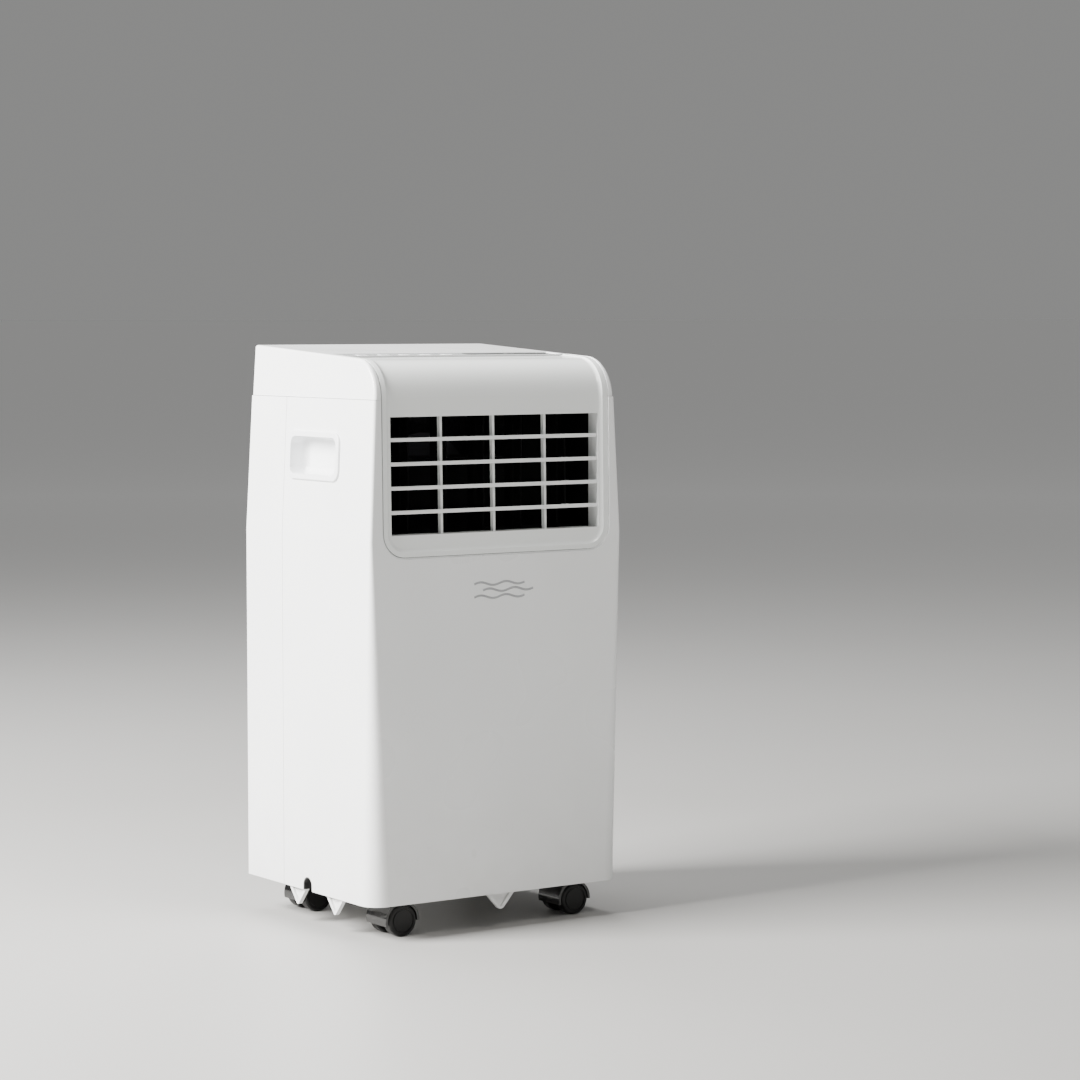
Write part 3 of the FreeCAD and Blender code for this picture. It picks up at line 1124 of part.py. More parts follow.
def refrigerant_pipes():
    top = TRAY_Z + TRAY_FLOOR + MOUNT_HEIGHT + COMPRESSOR_HEIGHT
    xa, ya = riser_place()
    evap = FLOOR_Z + 60
    coil_y = REAR_Y - WALL - 18 - COIL_DEPTH / 2
    suction = [V(COMPRESSOR_X - 15, COMPRESSOR_Y, top), V(COMPRESSOR_X - 15, COMPRESSOR_Y, top + 55),
               V(xa, ya, top + 55), V(xa, ya, evap), V(xa, coil_y - 3, evap), V(-118, coil_y - 3, evap)]
    hot = [V(COMPRESSOR_X + 15, COMPRESSOR_Y + 10, top), V(COMPRESSOR_X + 15, COMPRESSOR_Y + 10, top + 30),
           V(COMPRESSOR_X + 15, REAR_Y - WALL - 10 - COIL_DEPTH / 2, top + 30),
           V(COMPRESSOR_X + 15, REAR_Y - WALL - 10 - COIL_DEPTH / 2, LOWER_GRILLE_Z + LOWER_GRILLE_HEIGHT)]
    return Part.makeCompound([pipe(suction, PIPE_R), pipe(hot, PIPE_R)])


def electric_box():
    x0 = EVAP_SCROLL_WIDTH / 2 + 4
    x1 = WIDTH / 2 - SIDE_LEAN - WALL - CUP_DEPTH - 6
    z0 = FLOOR_Z + FLOOR_THICK
    shell = box(x0, x1, -55, 60, z0, z0 + 95)
    groove = box(x1 - 1, x1 + 1, -55, 60, z0 + 12, z0 + 13)
    return shell.cut(groove)


# ---- write the pieces ----------------------------------------------------------------------
def all_pieces():
    pieces = {
        "front_shell": front_shell(),
        "rear_shell": rear_shell(),
        "top_cover": top_cover(),
        "outlet_panel": outlet_panel(),
        "air_duct": air_duct(),
        "louvre_link": louvre_link(),
        "vane_link": vane_link(),
        "control_panel": control_panel(),
        "display_window": display_window(),
        "control_board": control_board(),
        "handle_cup_right": handle_cup(),
        "handle_cup_left": mirror_x(handle_cup()),
        "base_tray": base_tray(),
        "filter_panel": filter_panel(),
        "filter_mesh": filter_mesh(),
        "lower_grille": lower_grille(),
        "lower_mesh": lower_mesh(),
        "exhaust_collar": exhaust_collar(),
        "drain_plug": drain_plug(),
        "cord_gland": cord_gland(),
        "screws": screws(),
        "partition_tray": partition_tray(),
        "evaporator_scroll": evaporator_scroll(),
        "evaporator_wheel": evaporator_wheel(),
        "evaporator_motor": motor(V(0, EVAP_SCROLL_Y, EVAP_Z)),
        "evaporator_coil": evaporator_coil(),
        "condenser_scroll": condenser_scroll(),
        "condenser_wheel": condenser_wheel(),
        "condenser_motor": motor(V(HOSE_X, COND_SCROLL_Y, COND_WHEEL_Z)),
        "condenser_coil": condenser_coil(),
        "compressor": compressor(),
        "compressor_mounts": compressor_mounts(),
        "refrigerant_pipes": refrigerant_pipes(),
        "electric_box": electric_box(),
    }
    for index in range(BLADES):
        pieces["louvre_blade_%d" % (index + 1)] = louvre_blade(index)
    for index in range(VANES):
        pieces["vane_%d" % (index + 1)] = vane(index)
    for name, x in zip(BUTTON_NAMES, BUTTON_X):
        pieces["button_" + name] = button(x)
    for place, (x, y) in stem_places().items():
        pieces["caster_fork_" + place] = caster_fork(x, y)
        pieces["wheel_a_" + place] = caster_wheel(x, y, -1)
        pieces["wheel_b_" + place] = caster_wheel(x, y, 1)
    return pieces


os.makedirs("parts", exist_ok=True)
for name, shape in sorted(all_pieces().items()):
    shape.exportStep("parts/%s.step" % name)
    print("%-26s solids %d volume %.1f cm3 valid %s" % (name, len(shape.Solids), shape.Volume / 1000, shape.isValid()))
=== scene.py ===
import json
import math

import bmesh
import bpy
from mathutils import Matrix, Vector


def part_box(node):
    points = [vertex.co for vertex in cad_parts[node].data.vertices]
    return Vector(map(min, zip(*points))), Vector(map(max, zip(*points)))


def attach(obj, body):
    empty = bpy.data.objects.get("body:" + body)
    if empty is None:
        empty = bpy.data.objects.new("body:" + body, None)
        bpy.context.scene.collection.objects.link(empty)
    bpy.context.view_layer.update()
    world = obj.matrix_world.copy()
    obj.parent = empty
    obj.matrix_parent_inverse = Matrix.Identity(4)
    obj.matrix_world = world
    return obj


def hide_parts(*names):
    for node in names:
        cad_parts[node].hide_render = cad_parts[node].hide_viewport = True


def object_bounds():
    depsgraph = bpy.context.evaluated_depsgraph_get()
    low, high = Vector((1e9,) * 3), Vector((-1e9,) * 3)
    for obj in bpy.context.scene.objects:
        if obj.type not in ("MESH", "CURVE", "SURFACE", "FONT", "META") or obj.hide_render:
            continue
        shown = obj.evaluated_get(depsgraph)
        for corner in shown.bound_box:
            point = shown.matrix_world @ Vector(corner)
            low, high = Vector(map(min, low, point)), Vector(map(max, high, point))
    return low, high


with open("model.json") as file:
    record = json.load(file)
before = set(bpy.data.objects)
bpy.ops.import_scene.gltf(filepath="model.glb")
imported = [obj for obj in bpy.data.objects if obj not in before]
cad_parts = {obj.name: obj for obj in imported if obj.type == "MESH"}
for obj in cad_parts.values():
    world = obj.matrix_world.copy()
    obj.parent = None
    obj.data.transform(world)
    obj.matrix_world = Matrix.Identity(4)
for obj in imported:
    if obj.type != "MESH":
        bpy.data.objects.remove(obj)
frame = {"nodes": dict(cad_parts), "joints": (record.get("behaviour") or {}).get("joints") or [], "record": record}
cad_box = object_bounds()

# %% [markdown]
# # A portable air conditioner
# The machine is a tall white box on four black swivel casters. A rounded outlet
# panel is let into its front, and cooled air leaves through level louvre blades.
# The imported frame brings every moulded part at its true size and place. What is
# added here is what a maker sees up close: the finish of each plastic and metal,
# the woven filters, the finned coils and the marks.
# Whatever repeats is grown by Geometry Nodes, so that one rule makes all of it.

# %% Sizes that later cells share
MM = 0.001
NODES = frame["nodes"]
RECORD = frame["record"]
JOINTS = {joint["name"]: joint for joint in frame["joints"]}
LOW, HIGH = cad_box
print("machine is", [round((h - l) / MM) for l, h in zip(LOW, HIGH)], "mm")


# %% [markdown]
# ## Small helpers for mesh pieces
# Each new piece is built in the machine's own frame, in metres, so its object
# stays at the origin and only its vertices carry the place. One helper turns a
# bmesh into such a piece and fastens it to the body that it moves with.

# %% Turn a bmesh into a piece
def piece_from(bm, name, material, body, smooth=True):
    bmesh.ops.remove_doubles(bm, verts=bm.verts, dist=1e-6)
    bmesh.ops.recalc_face_normals(bm, faces=bm.faces)
    mesh = bpy.data.meshes.new(name)
    bm.to_mesh(mesh)
    bm.free()
    for face in mesh.polygons:
        face.use_smooth = smooth
    mesh.materials.append(material)
    piece = bpy.data.objects.new(name, mesh)
    bpy.context.scene.collection.objects.link(piece)
    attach(piece, body)
    print(name, "has", len(mesh.polygons), "faces")
    return piece


# %% [markdown]
# ## Surface effects that several finishes share
# Moulded plastic is never one flat value. The tool leaves a fine spark grain, the
# gloss drifts a little over a large wall, and the colour turns a little greyish brown towards the floor.
# Each of these is one node group with named inputs, placed in every finish that needs it.

# %% A helper that starts a shader group with named sockets
def shader_group(name, inputs, outputs):
    tree = bpy.data.node_groups.new(name, "ShaderNodeTree")
    for label, value in inputs.items():
        socket = tree.interface.new_socket(label, in_out="INPUT", socket_type="NodeSocketFloat")
        socket.default_value = value
    for label in outputs:
        tree.interface.new_socket(label, in_out="OUTPUT", socket_type="NodeSocketFloat")
    return tree, tree.nodes.new("NodeGroupInput"), tree.nodes.new("NodeGroupOutput")


def math_node(tree, operation, first, second=None, clamp=False):
    node = tree.nodes.new("ShaderNodeMath")
    node.operation = operation
    node.use_clamp = clamp
    for socket, value in zip(node.inputs, (first, second)):
        if isinstance(value, (int, float)):
            socket.default_value = value
        elif value is not None:
            tree.links.new(value, socket)
    return node.outputs[0]


# %% Grain: the spark texture of the mould, and slow drift of the gloss
def make_grain_group():
    tree, given, made = shader_group("mould_grain", {"Scale": 900.0, "Drift Scale": 6.0}, ["Height", "Drift"])
    place = tree.nodes.new("ShaderNodeTexCoord")
    fine = tree.nodes.new("ShaderNodeTexNoise")
    fine.inputs["Detail"].default_value = 3.0
    slow = tree.nodes.new("ShaderNodeTexNoise")
    slow.inputs["Detail"].default_value = 2.0
    tree.links.new(place.outputs["Object"], fine.inputs["Vector"])
    tree.links.new(place.outputs["Object"], slow.inputs["Vector"])
    tree.links.new(given.outputs["Scale"], fine.inputs["Scale"])
    tree.links.new(given.outputs["Drift Scale"], slow.inputs["Scale"])
    tree.links.new(fine.outputs["Fac"], made.inputs["Height"])
    tree.links.new(slow.outputs["Fac"], made.inputs["Drift"])
    return tree


# %% Floor tint: a greyish brown that grows towards the floor, broken up by noise
def make_floor_tint_group():
    tree, given, made = shader_group("floor_dust", {"Top": 0.2, "Patch Scale": 30.0}, ["Mask"])
    place = tree.nodes.new("ShaderNodeTexCoord")
    split = tree.nodes.new("ShaderNodeSeparateXYZ")
    noise = tree.nodes.new("ShaderNodeTexNoise")
    noise.inputs["Detail"].default_value = 4.0
    tree.links.new(place.outputs["Object"], split.inputs[0])
    tree.links.new(place.outputs["Object"], noise.inputs["Vector"])
    tree.links.new(given.outputs["Patch Scale"], noise.inputs["Scale"])
    height = math_node(tree, "DIVIDE", split.outputs["Z"], given.outputs["Top"])
    low = math_node(tree, "SUBTRACT", 1.0, height, clamp=True)
    falling = math_node(tree, "POWER", low, 1.6)
    mask = math_node(tree, "MULTIPLY", falling, noise.outputs["Fac"])
    tree.links.new(mask, made.inputs["Mask"])
    return tree


# %% Streaks: fine scratches drawn out along one axis, as on drawn or brushed metal
def make_streak_group():
    tree, given, made = shader_group("drawn_streaks", {"Along": 20.0, "Across": 900.0}, ["Height", "Shade"])
    place = tree.nodes.new("ShaderNodeTexCoord")
    stretch = tree.nodes.new("ShaderNodeVectorMath")
    stretch.operation = "MULTIPLY"
    scale = tree.nodes.new("ShaderNodeCombineXYZ")
    noise = tree.nodes.new("ShaderNodeTexNoise")
    noise.inputs["Scale"].default_value = 1.0
    noise.inputs["Detail"].default_value = 3.0
    tree.links.new(given.outputs["Across"], scale.inputs["X"])
    tree.links.new(given.outputs["Along"], scale.inputs["Y"])
    tree.links.new(given.outputs["Across"], scale.inputs["Z"])
    tree.links.new(place.outputs["Object"], stretch.inputs[0])
    tree.links.new(scale.outputs[0], stretch.inputs[1])
    tree.links.new(stretch.outputs[0], noise.inputs["Vector"])
    tree.links.new(noise.outputs["Fac"], made.inputs["Height"])
    tree.links.new(noise.outputs["Fac"], made.inputs["Shade"])
    return tree


# %% Scuffs: short fine scratches that handling leaves, a little darker and duller
def make_scuff_group():
    tree, given, made = shader_group("handling_scuffs", {"Scale": 14.0, "Threshold": 0.62}, ["Mask"])
    place = tree.nodes.new("ShaderNodeTexCoord")
    patches = tree.nodes.new("ShaderNodeTexNoise")
    patches.inputs["Detail"].default_value = 2.0
    hairs = tree.nodes.new("ShaderNodeTexWave")
    hairs.inputs["Scale"].default_value = 55.0
    hairs.inputs["Distortion"].default_value = 18.0
    hairs.inputs["Detail"].default_value = 4.0
    tree.links.new(place.outputs["Object"], patches.inputs["Vector"])
    tree.links.new(place.outputs["Object"], hairs.inputs["Vector"])
    tree.links.new(given.outputs["Scale"], patches.inputs["Scale"])
    where = math_node(tree, "SUBTRACT", patches.outputs["Fac"], given.outputs["Threshold"], clamp=True)
    edge = math_node(tree, "MULTIPLY", where, 6.0, clamp=True)
    thin = math_node(tree, "POWER", hairs.outputs["Fac"], 12.0)
    tree.links.new(math_node(tree, "MULTIPLY", edge, thin, clamp=True), made.inputs["Mask"])
    return tree


GRAIN = make_grain_group()
FLOOR_TINT = make_floor_tint_group()
STREAKS = make_streak_group()
SCUFFS = make_scuff_group()
print("shared effects:", GRAIN.name, FLOOR_TINT.name, STREAKS.name, SCUFFS.name)


# %% [markdown]
# ## Finishes
# A finish is one Principled shader. Constant values sit on its own sockets, and
# only what changes over the surface is wired in: colour, roughness and the normal.

# %% Start a finish, and place a shared effect in it
def start_finish(name, roughness, metallic=0.0, coat=0.0, ior=1.5, specular=0.5):
    material = bpy.data.materials.new(name)
    material.use_nodes = True
    shader = material.node_tree.nodes["Principled BSDF"]
    shader.inputs["Roughness"].default_value = roughness
    shader.inputs["Metallic"].default_value = metallic
    shader.inputs["Coat Weight"].default_value = coat
    shader.inputs["Coat Roughness"].default_value = 0.08
    shader.inputs["IOR"].default_value = ior
    shader.inputs["Specular IOR Level"].default_value = specular
    return material, material.node_tree, shader


def place_group(tree, group, **values):
    node = tree.nodes.new("ShaderNodeGroup")
    node.node_tree = group
    for label, value in values.items():
        node.inputs[label.replace("_", " ")].default_value = value
    return node


def mix_colours(tree, mask, first, second):
    node = tree.nodes.new("ShaderNodeMix")
    node.data_type = "RGBA"
    node.clamp_factor = True
    tree.links.new(mask, node.inputs["Factor"])
    for socket, value in ((node.inputs["A"], first), (node.inputs["B"], second)):
        if isinstance(value, tuple):
            socket.default_value = (*value, 1.0)
        else:
            tree.links.new(value, socket)
    return node.outputs["Result"]


def range_node(tree, value, low, high, source=(0.3, 0.7)):
    node = tree.nodes.new("ShaderNodeMapRange")
    tree.links.new(value, node.inputs["Value"])
    node.inputs["From Min"].default_value = source[0]
    node.inputs["From Max"].default_value = source[1]
    node.inputs["To Min"].default_value = low
    node.inputs["To Max"].default_value = high
    return node.outputs["Result"]


def add_bump(tree, shader, height, depth, strength=1.0):
    bump = tree.nodes.new("ShaderNodeBump")
    bump.inputs["Strength"].default_value = strength
    bump.inputs["Distance"].default_value = depth
    tree.links.new(height, bump.inputs["Height"])
    tree.links.new(bump.outputs["Normal"], shader.inputs["Normal"])


# %% Moulded plastic, from gloss white walls to matt black ducts
def moulded_plastic(name, colour, roughness, drift=0.05, grain=900.0, depth=0.00002, floor_tint_amount=0.0, coat=0.0,
                    scuffs=0.0, specular=0.5):
    material, tree, shader = start_finish(name, roughness, coat=coat, specular=specular)
    texture = place_group(tree, GRAIN, Scale=grain)
    shade = tuple(channel * 0.955 for channel in colour)
    surface = mix_colours(tree, range_node(tree, texture.outputs["Drift"], 0.0, 1.0), colour, shade)
    if floor_tint_amount:
        tint_node = place_group(tree, FLOOR_TINT, Top=0.22)
        mask = math_node(tree, "MULTIPLY", tint_node.outputs["Mask"], floor_tint_amount, clamp=True)
        # colour drawn towards a greyish brown low on the part, set by height and noise
        surface = mix_colours(tree, mask, surface, (0.46, 0.43, 0.38))
    rough = range_node(tree, texture.outputs["Drift"], roughness - drift, roughness + drift)
    if scuffs:
        marks = place_group(tree, SCUFFS, Scale=14.0, Threshold=0.58)
        worn = math_node(tree, "MULTIPLY", marks.outputs["Mask"], scuffs, clamp=True)
        surface = mix_colours(tree, worn, surface, tuple(0.6 * channel + 0.12 for channel in colour))
        rough = math_node(tree, "ADD", rough, math_node(tree, "MULTIPLY", worn, 0.4), clamp=True)
    tree.links.new(surface, shader.inputs["Base Color"])
    tree.links.new(rough, shader.inputs["Roughness"])
    add_bump(tree, shader, texture.outputs["Height"], depth)
    return material


# %% Metals: streaks from drawing or brushing carry both shade and gloss
def drawn_metal(name, colour, roughness, along=20.0, across=900.0, metallic=1.0):
    material, tree, shader = start_finish(name, roughness, metallic=metallic)
    streak = place_group(tree, STREAKS, Along=along, Across=across)
    dark = tuple(channel * 0.72 for channel in colour)
    surface = mix_colours(tree, range_node(tree, streak.outputs["Shade"], 0.0, 1.0), colour, dark)
    tree.links.new(surface, shader.inputs["Base Color"])
    tree.links.new(range_node(tree, streak.outputs["Shade"], roughness - 0.08, roughness + 0.1),
                   shader.inputs["Roughness"])
    add_bump(tree, shader, streak.outputs["Height"], 0.00002)
    return material


# %% Foam beads: the blower housings are pressed from expanded beads
def bead_foam(name, colour):
    material, tree, shader = start_finish(name, 0.8)
    place = tree.nodes.new("ShaderNodeTexCoord")
    cells = tree.nodes.new("ShaderNodeTexVoronoi")
    cells.inputs["Scale"].default_value = 260.0
    tree.links.new(place.outputs["Object"], cells.inputs["Vector"])
    dark = tuple(channel * 0.6 for channel in colour)
    surface = mix_colours(tree, range_node(tree, cells.outputs["Distance"], 0.0, 1.0, (0.1, 0.7)), colour, dark)
    tree.links.new(surface, shader.inputs["Base Color"])
    add_bump(tree, shader, cells.outputs["Distance"], -0.0004)
    return material


# %% Circuit board: pale tracks on a green ground
def circuit_board(name):
    material, tree, shader = start_finish(name, 0.35)
    place = tree.nodes.new("ShaderNodeTexCoord")
    tracks = tree.nodes.new("ShaderNodeTexBrick")
    tracks.inputs["Scale"].default_value = 90.0
    tracks.inputs["Mortar Size"].default_value = 0.03
    tracks.inputs["Color1"].default_value = (0.02, 0.14, 0.06, 1.0)
    tracks.inputs["Color2"].default_value = (0.025, 0.17, 0.07, 1.0)
    tracks.inputs["Mortar"].default_value = (0.20, 0.34, 0.16, 1.0)
    tree.links.new(place.outputs["Object"], tracks.inputs["Vector"])
    tree.links.new(tracks.outputs["Color"], shader.inputs["Base Color"])
    add_bump(tree, shader, tracks.outputs["Fac"], 0.0001)
    return material


# %% Every finish by its slot
FINISH = {
    "casing_white": moulded_plastic("casing_white", (0.87, 0.88, 0.88), 0.30, floor_tint_amount=0.35, coat=0.25, scuffs=0.25),
    "panel_white": moulded_plastic("panel_white", (0.85, 0.87, 0.86), 0.24, coat=0.35),
    "louvre_white": moulded_plastic("louvre_white", (0.86, 0.87, 0.87), 0.32, coat=0.2),
    "cup_white": moulded_plastic("cup_white", (0.87, 0.88, 0.89), 0.30, coat=0.25),
    "duct_black": moulded_plastic("duct_black", (0.0022, 0.0022, 0.0024), 0.82, grain=500.0, depth=0.00006, specular=0.15),
    "control_grey": moulded_plastic("control_grey", (0.70, 0.72, 0.73), 0.16, coat=0.6),
    "display_black": moulded_plastic("display_black", (0.004, 0.004, 0.005), 0.25, drift=0.02, specular=0.04),
    "button_white": moulded_plastic("button_white", (0.80, 0.81, 0.82), 0.42),
    "board_green": circuit_board("board_green"),
    "tray_white": moulded_plastic("tray_white", (0.83, 0.84, 0.84), 0.36, floor_tint_amount=0.4, scuffs=0.3),
    "caster_black": moulded_plastic("caster_black", (0.004, 0.004, 0.0045), 0.20, floor_tint_amount=0.02, coat=0.5, scuffs=0.15),
    "wheel_black": moulded_plastic("wheel_black", (0.003, 0.003, 0.0033), 0.34, floor_tint_amount=0.02, scuffs=0.3, specular=0.3),
    "grille_white": moulded_plastic("grille_white", (0.84, 0.85, 0.85), 0.34, floor_tint_amount=0.2),
    "mesh_grey": moulded_plastic("mesh_grey", (0.10, 0.105, 0.11), 0.6, grain=1500.0),
    "plug_grey": moulded_plastic("plug_grey", (0.36, 0.37, 0.38), 0.45),
    "rubber_black": moulded_plastic("rubber_black", (0.018, 0.018, 0.018), 0.78, grain=1400.0, depth=0.00005),
    "screw_steel": drawn_metal("screw_steel", (0.62, 0.63, 0.65), 0.30, along=300.0, across=600.0),
    "foam_grey": bead_foam("foam_grey", (0.075, 0.075, 0.08)),
    "rotor_grey": moulded_plastic("rotor_grey", (0.10, 0.10, 0.11), 0.48),
    "motor_steel": drawn_metal("motor_steel", (0.46, 0.47, 0.48), 0.34),
    "coil_fins": drawn_metal("coil_fins", (0.72, 0.74, 0.76), 0.36, along=400.0, across=60.0),
    "compressor_black": moulded_plastic("compressor_black", (0.016, 0.016, 0.018), 0.26, grain=160.0, depth=0.0002),
    "copper": drawn_metal("copper", (0.80, 0.42, 0.26), 0.28, along=60.0, across=60.0),
    "box_grey": moulded_plastic("box_grey", (0.32, 0.33, 0.34), 0.5),
}
for row in RECORD["subparts"]:
    node = NODES[row["node"]]
    node.data.materials.clear()
    node.data.materials.append(FINISH[row["material_slot"]])
print("finishes given to", len(RECORD["subparts"]), "nodes")


# %% [markdown]
# ## Rows grown by Geometry Nodes
# A woven filter, a stack of coil fins, the ribs of a finger grip and the lines of a
# mark are all one shape set out at a steady pitch. Copies could be placed by a loop
# in Python, but a node tree keeps the rule in one place, with named sizes, and it
# is evaluated once into a plain mesh. Every tree starts and ends in the same way.

# %% Start a tree, and turn an object that carries it into a finished piece
def geometry_tree(name, inputs):
    tree = bpy.data.node_groups.new(name, "GeometryNodeTree")
    tree.is_modifier = True
    tree.interface.new_socket("Geometry", in_out="INPUT", socket_type="NodeSocketGeometry")
    for label, (kind, value) in inputs.items():
        socket = tree.interface.new_socket(label, in_out="INPUT", socket_type=kind)
        socket.default_value = value
    tree.interface.new_socket("Geometry", in_out="OUTPUT", socket_type="NodeSocketGeometry")
    return tree, tree.nodes.new("NodeGroupInput"), tree.nodes.new("NodeGroupOutput")


def geometry_node(tree, kind, links=None, **settings):
    node = tree.nodes.new(kind)
    for label, value in settings.items():
        setattr(node, label, value)
    for label, source in (links or {}).items():
        if isinstance(source, bpy.types.NodeSocket):
            tree.links.new(source, node.inputs[label])
        else:
            node.inputs[label].default_value = source
    return node


def end_tree(tree, made, geometry, material):
    whole = geometry_node(tree, "GeometryNodeRealizeInstances", {"Geometry": geometry})
    dressed = geometry_node(tree, "GeometryNodeSetMaterial",
                            {"Geometry": whole.outputs["Geometry"], "Material": material})
    tree.links.new(dressed.outputs["Geometry"], made.inputs["Geometry"])


def grown_mesh(tree, **values):
    """Plain mesh that the tree makes with these values for its inputs."""
    seed = bpy.data.objects.new("seed", bpy.data.meshes.new("seed"))
    bpy.context.scene.collection.objects.link(seed)
    modifier = seed.modifiers.new("grow", "NODES")
    modifier.node_group = tree
    for item in tree.interface.items_tree:
        label = item.name.replace(" ", "_")
        if item.in_out == "INPUT" and label in values:
            modifier[item.identifier] = values[label]
    graph = bpy.context.evaluated_depsgraph_get()
    mesh = bpy.data.meshes.new_from_object(seed.evaluated_get(graph))
    bpy.data.objects.remove(seed)
    return mesh


def grown_piece(mesh, name, body, slot, move=None):
    """Piece from a grown mesh, set in place by a matrix on its vertices."""
    bm = bmesh.new()
    bm.from_mesh(mesh)
    if move is not None:
        bm.transform(move)
    return piece_from(bm, name, FINISH[slot], body)


# %% [markdown]
# ## Woven filter nets
# Behind each rear grille a net of fine threads catches lint. Each thread rides over
# one neighbour and under the next. A thread is a wave on a line, and every second
# row is the same wave turned over, so two sets of rows at right angles interlock.

# %% The tree for one set of threads
def make_thread_tree():
    tree, given, made = geometry_tree("net_threads", {
        "Rows": ("NodeSocketInt", 10), "Pitch": ("NodeSocketFloat", 0.004),
        "Length": ("NodeSocketFloat", 0.1), "Steps": ("NodeSocketInt", 20),
        "Swing": ("NodeSocketFloat", 0.0003), "Radius": ("NodeSocketFloat", 0.0003),
        "Phase": ("NodeSocketFloat", 0.0)})
    size = given.outputs
    rows = geometry_node(tree, "GeometryNodeMeshLine", {"Count": size["Rows"]}, mode="OFFSET")
    offset = geometry_node(tree, "ShaderNodeCombineXYZ", {"Y": size["Pitch"]})
    tree.links.new(offset.outputs[0], rows.inputs["Offset"])
    end = geometry_node(tree, "ShaderNodeCombineXYZ", {"X": size["Length"]})
    line = geometry_node(tree, "GeometryNodeCurvePrimitiveLine", {"End": end.outputs[0]})
    thread = geometry_node(tree, "GeometryNodeResampleCurve", {"Curve": line.outputs["Curve"], "Count": size["Steps"]})
    laid = geometry_node(tree, "GeometryNodeInstanceOnPoints",
                         {"Points": rows.outputs["Mesh"], "Instance": thread.outputs["Curve"]})
    loose = geometry_node(tree, "GeometryNodeRealizeInstances", {"Geometry": laid.outputs["Instances"]})
    place = geometry_node(tree, "GeometryNodeInputPosition")
    split = geometry_node(tree, "ShaderNodeSeparateXYZ", {0: place.outputs[0]})
    steps = [math_node(tree, "DIVIDE", split.outputs[axis], size["Pitch"]) for axis in ("X", "Y")]
    turns = math_node(tree, "ADD", math_node(tree, "ADD", steps[0], steps[1]), size["Phase"])
    wave = math_node(tree, "COSINE", math_node(tree, "MULTIPLY", turns, math.pi))
    rise = geometry_node(tree, "ShaderNodeCombineXYZ", {"Z": math_node(tree, "MULTIPLY", wave, size["Swing"])})
    waved = geometry_node(tree, "GeometryNodeSetPosition",
                          {"Geometry": loose.outputs["Geometry"], "Offset": rise.outputs[0]})
    ring = geometry_node(tree, "GeometryNodeCurvePrimitiveCircle", {"Resolution": 4, "Radius": size["Radius"]})
    body = geometry_node(tree, "GeometryNodeCurveToMesh",
                         {"Curve": waved.outputs["Geometry"], "Profile Curve": ring.outputs["Curve"], "Fill Caps": True})
    end_tree(tree, made, body.outputs["Mesh"], FINISH["mesh_grey"])
    return tree


THREADS = make_thread_tree()
NET_PITCH = 4.0 * MM
THREAD_R = 0.3 * MM


# %% Weave each net in the plane of its sheet
def rear_line(node):
    """Middle depth of a thin upright sheet at its foot and at its head."""
    low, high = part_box(node)
    ends = []
    for level in (low[2], high[2]):
        ends.append([v.co.y for v in NODES[node].data.vertices if abs(v.co.z - level) < 1.0 * MM])
    return [(min(ys) + max(ys)) / 2 for ys in ends]


def weave_net(node, name, body):
    low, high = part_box(node)
    width, height = high[0] - low[0], high[2] - low[2]
    foot_y, head_y = rear_line(node)
    across, up = int(width / NET_PITCH), int(height / NET_PITCH)
    bm = bmesh.new()
    weft = grown_mesh(THREADS, Rows=up, Pitch=NET_PITCH, Length=across * NET_PITCH, Steps=2 * across + 1,
                      Swing=THREAD_R, Radius=THREAD_R, Phase=0.0)
    bm.from_mesh(weft)
    warp = grown_mesh(THREADS, Rows=across, Pitch=NET_PITCH, Length=up * NET_PITCH, Steps=2 * up + 1,
                      Swing=THREAD_R, Radius=THREAD_R, Phase=1.0)
    turned = bmesh.new()
    turned.from_mesh(warp)
    turned.transform(Matrix(((0, 1, 0, 0), (1, 0, 0, 0), (0, 0, 1, 0), (0, 0, 0, 1))))
    turned.to_mesh(warp)
    turned.free()
    bm.from_mesh(warp)
    lean = math.atan2(head_y - foot_y, height)
    upright = Matrix.Rotation(math.pi / 2 - lean, 4, "X")
    start = Vector((low[0] + NET_PITCH / 2, foot_y, low[2] + NET_PITCH / 2))
    bm.transform(Matrix.Translation(start) @ upright)
    net = piece_from(bm, name, FINISH["mesh_grey"], body)
    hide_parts(node)


weave_net("filter_mesh", "filter_net", "filter_door")
weave_net("lower_mesh", "lower_net", "casing")


# %% [markdown]
# ## Coil fins
# Each coil is a pile of thin aluminium plates pressed onto copper tubes. What shows
# between the threads of the net is their rear edges, a fine upright comb. The frame
# has the coil as one block, and the comb stands a little proud of its rear face.

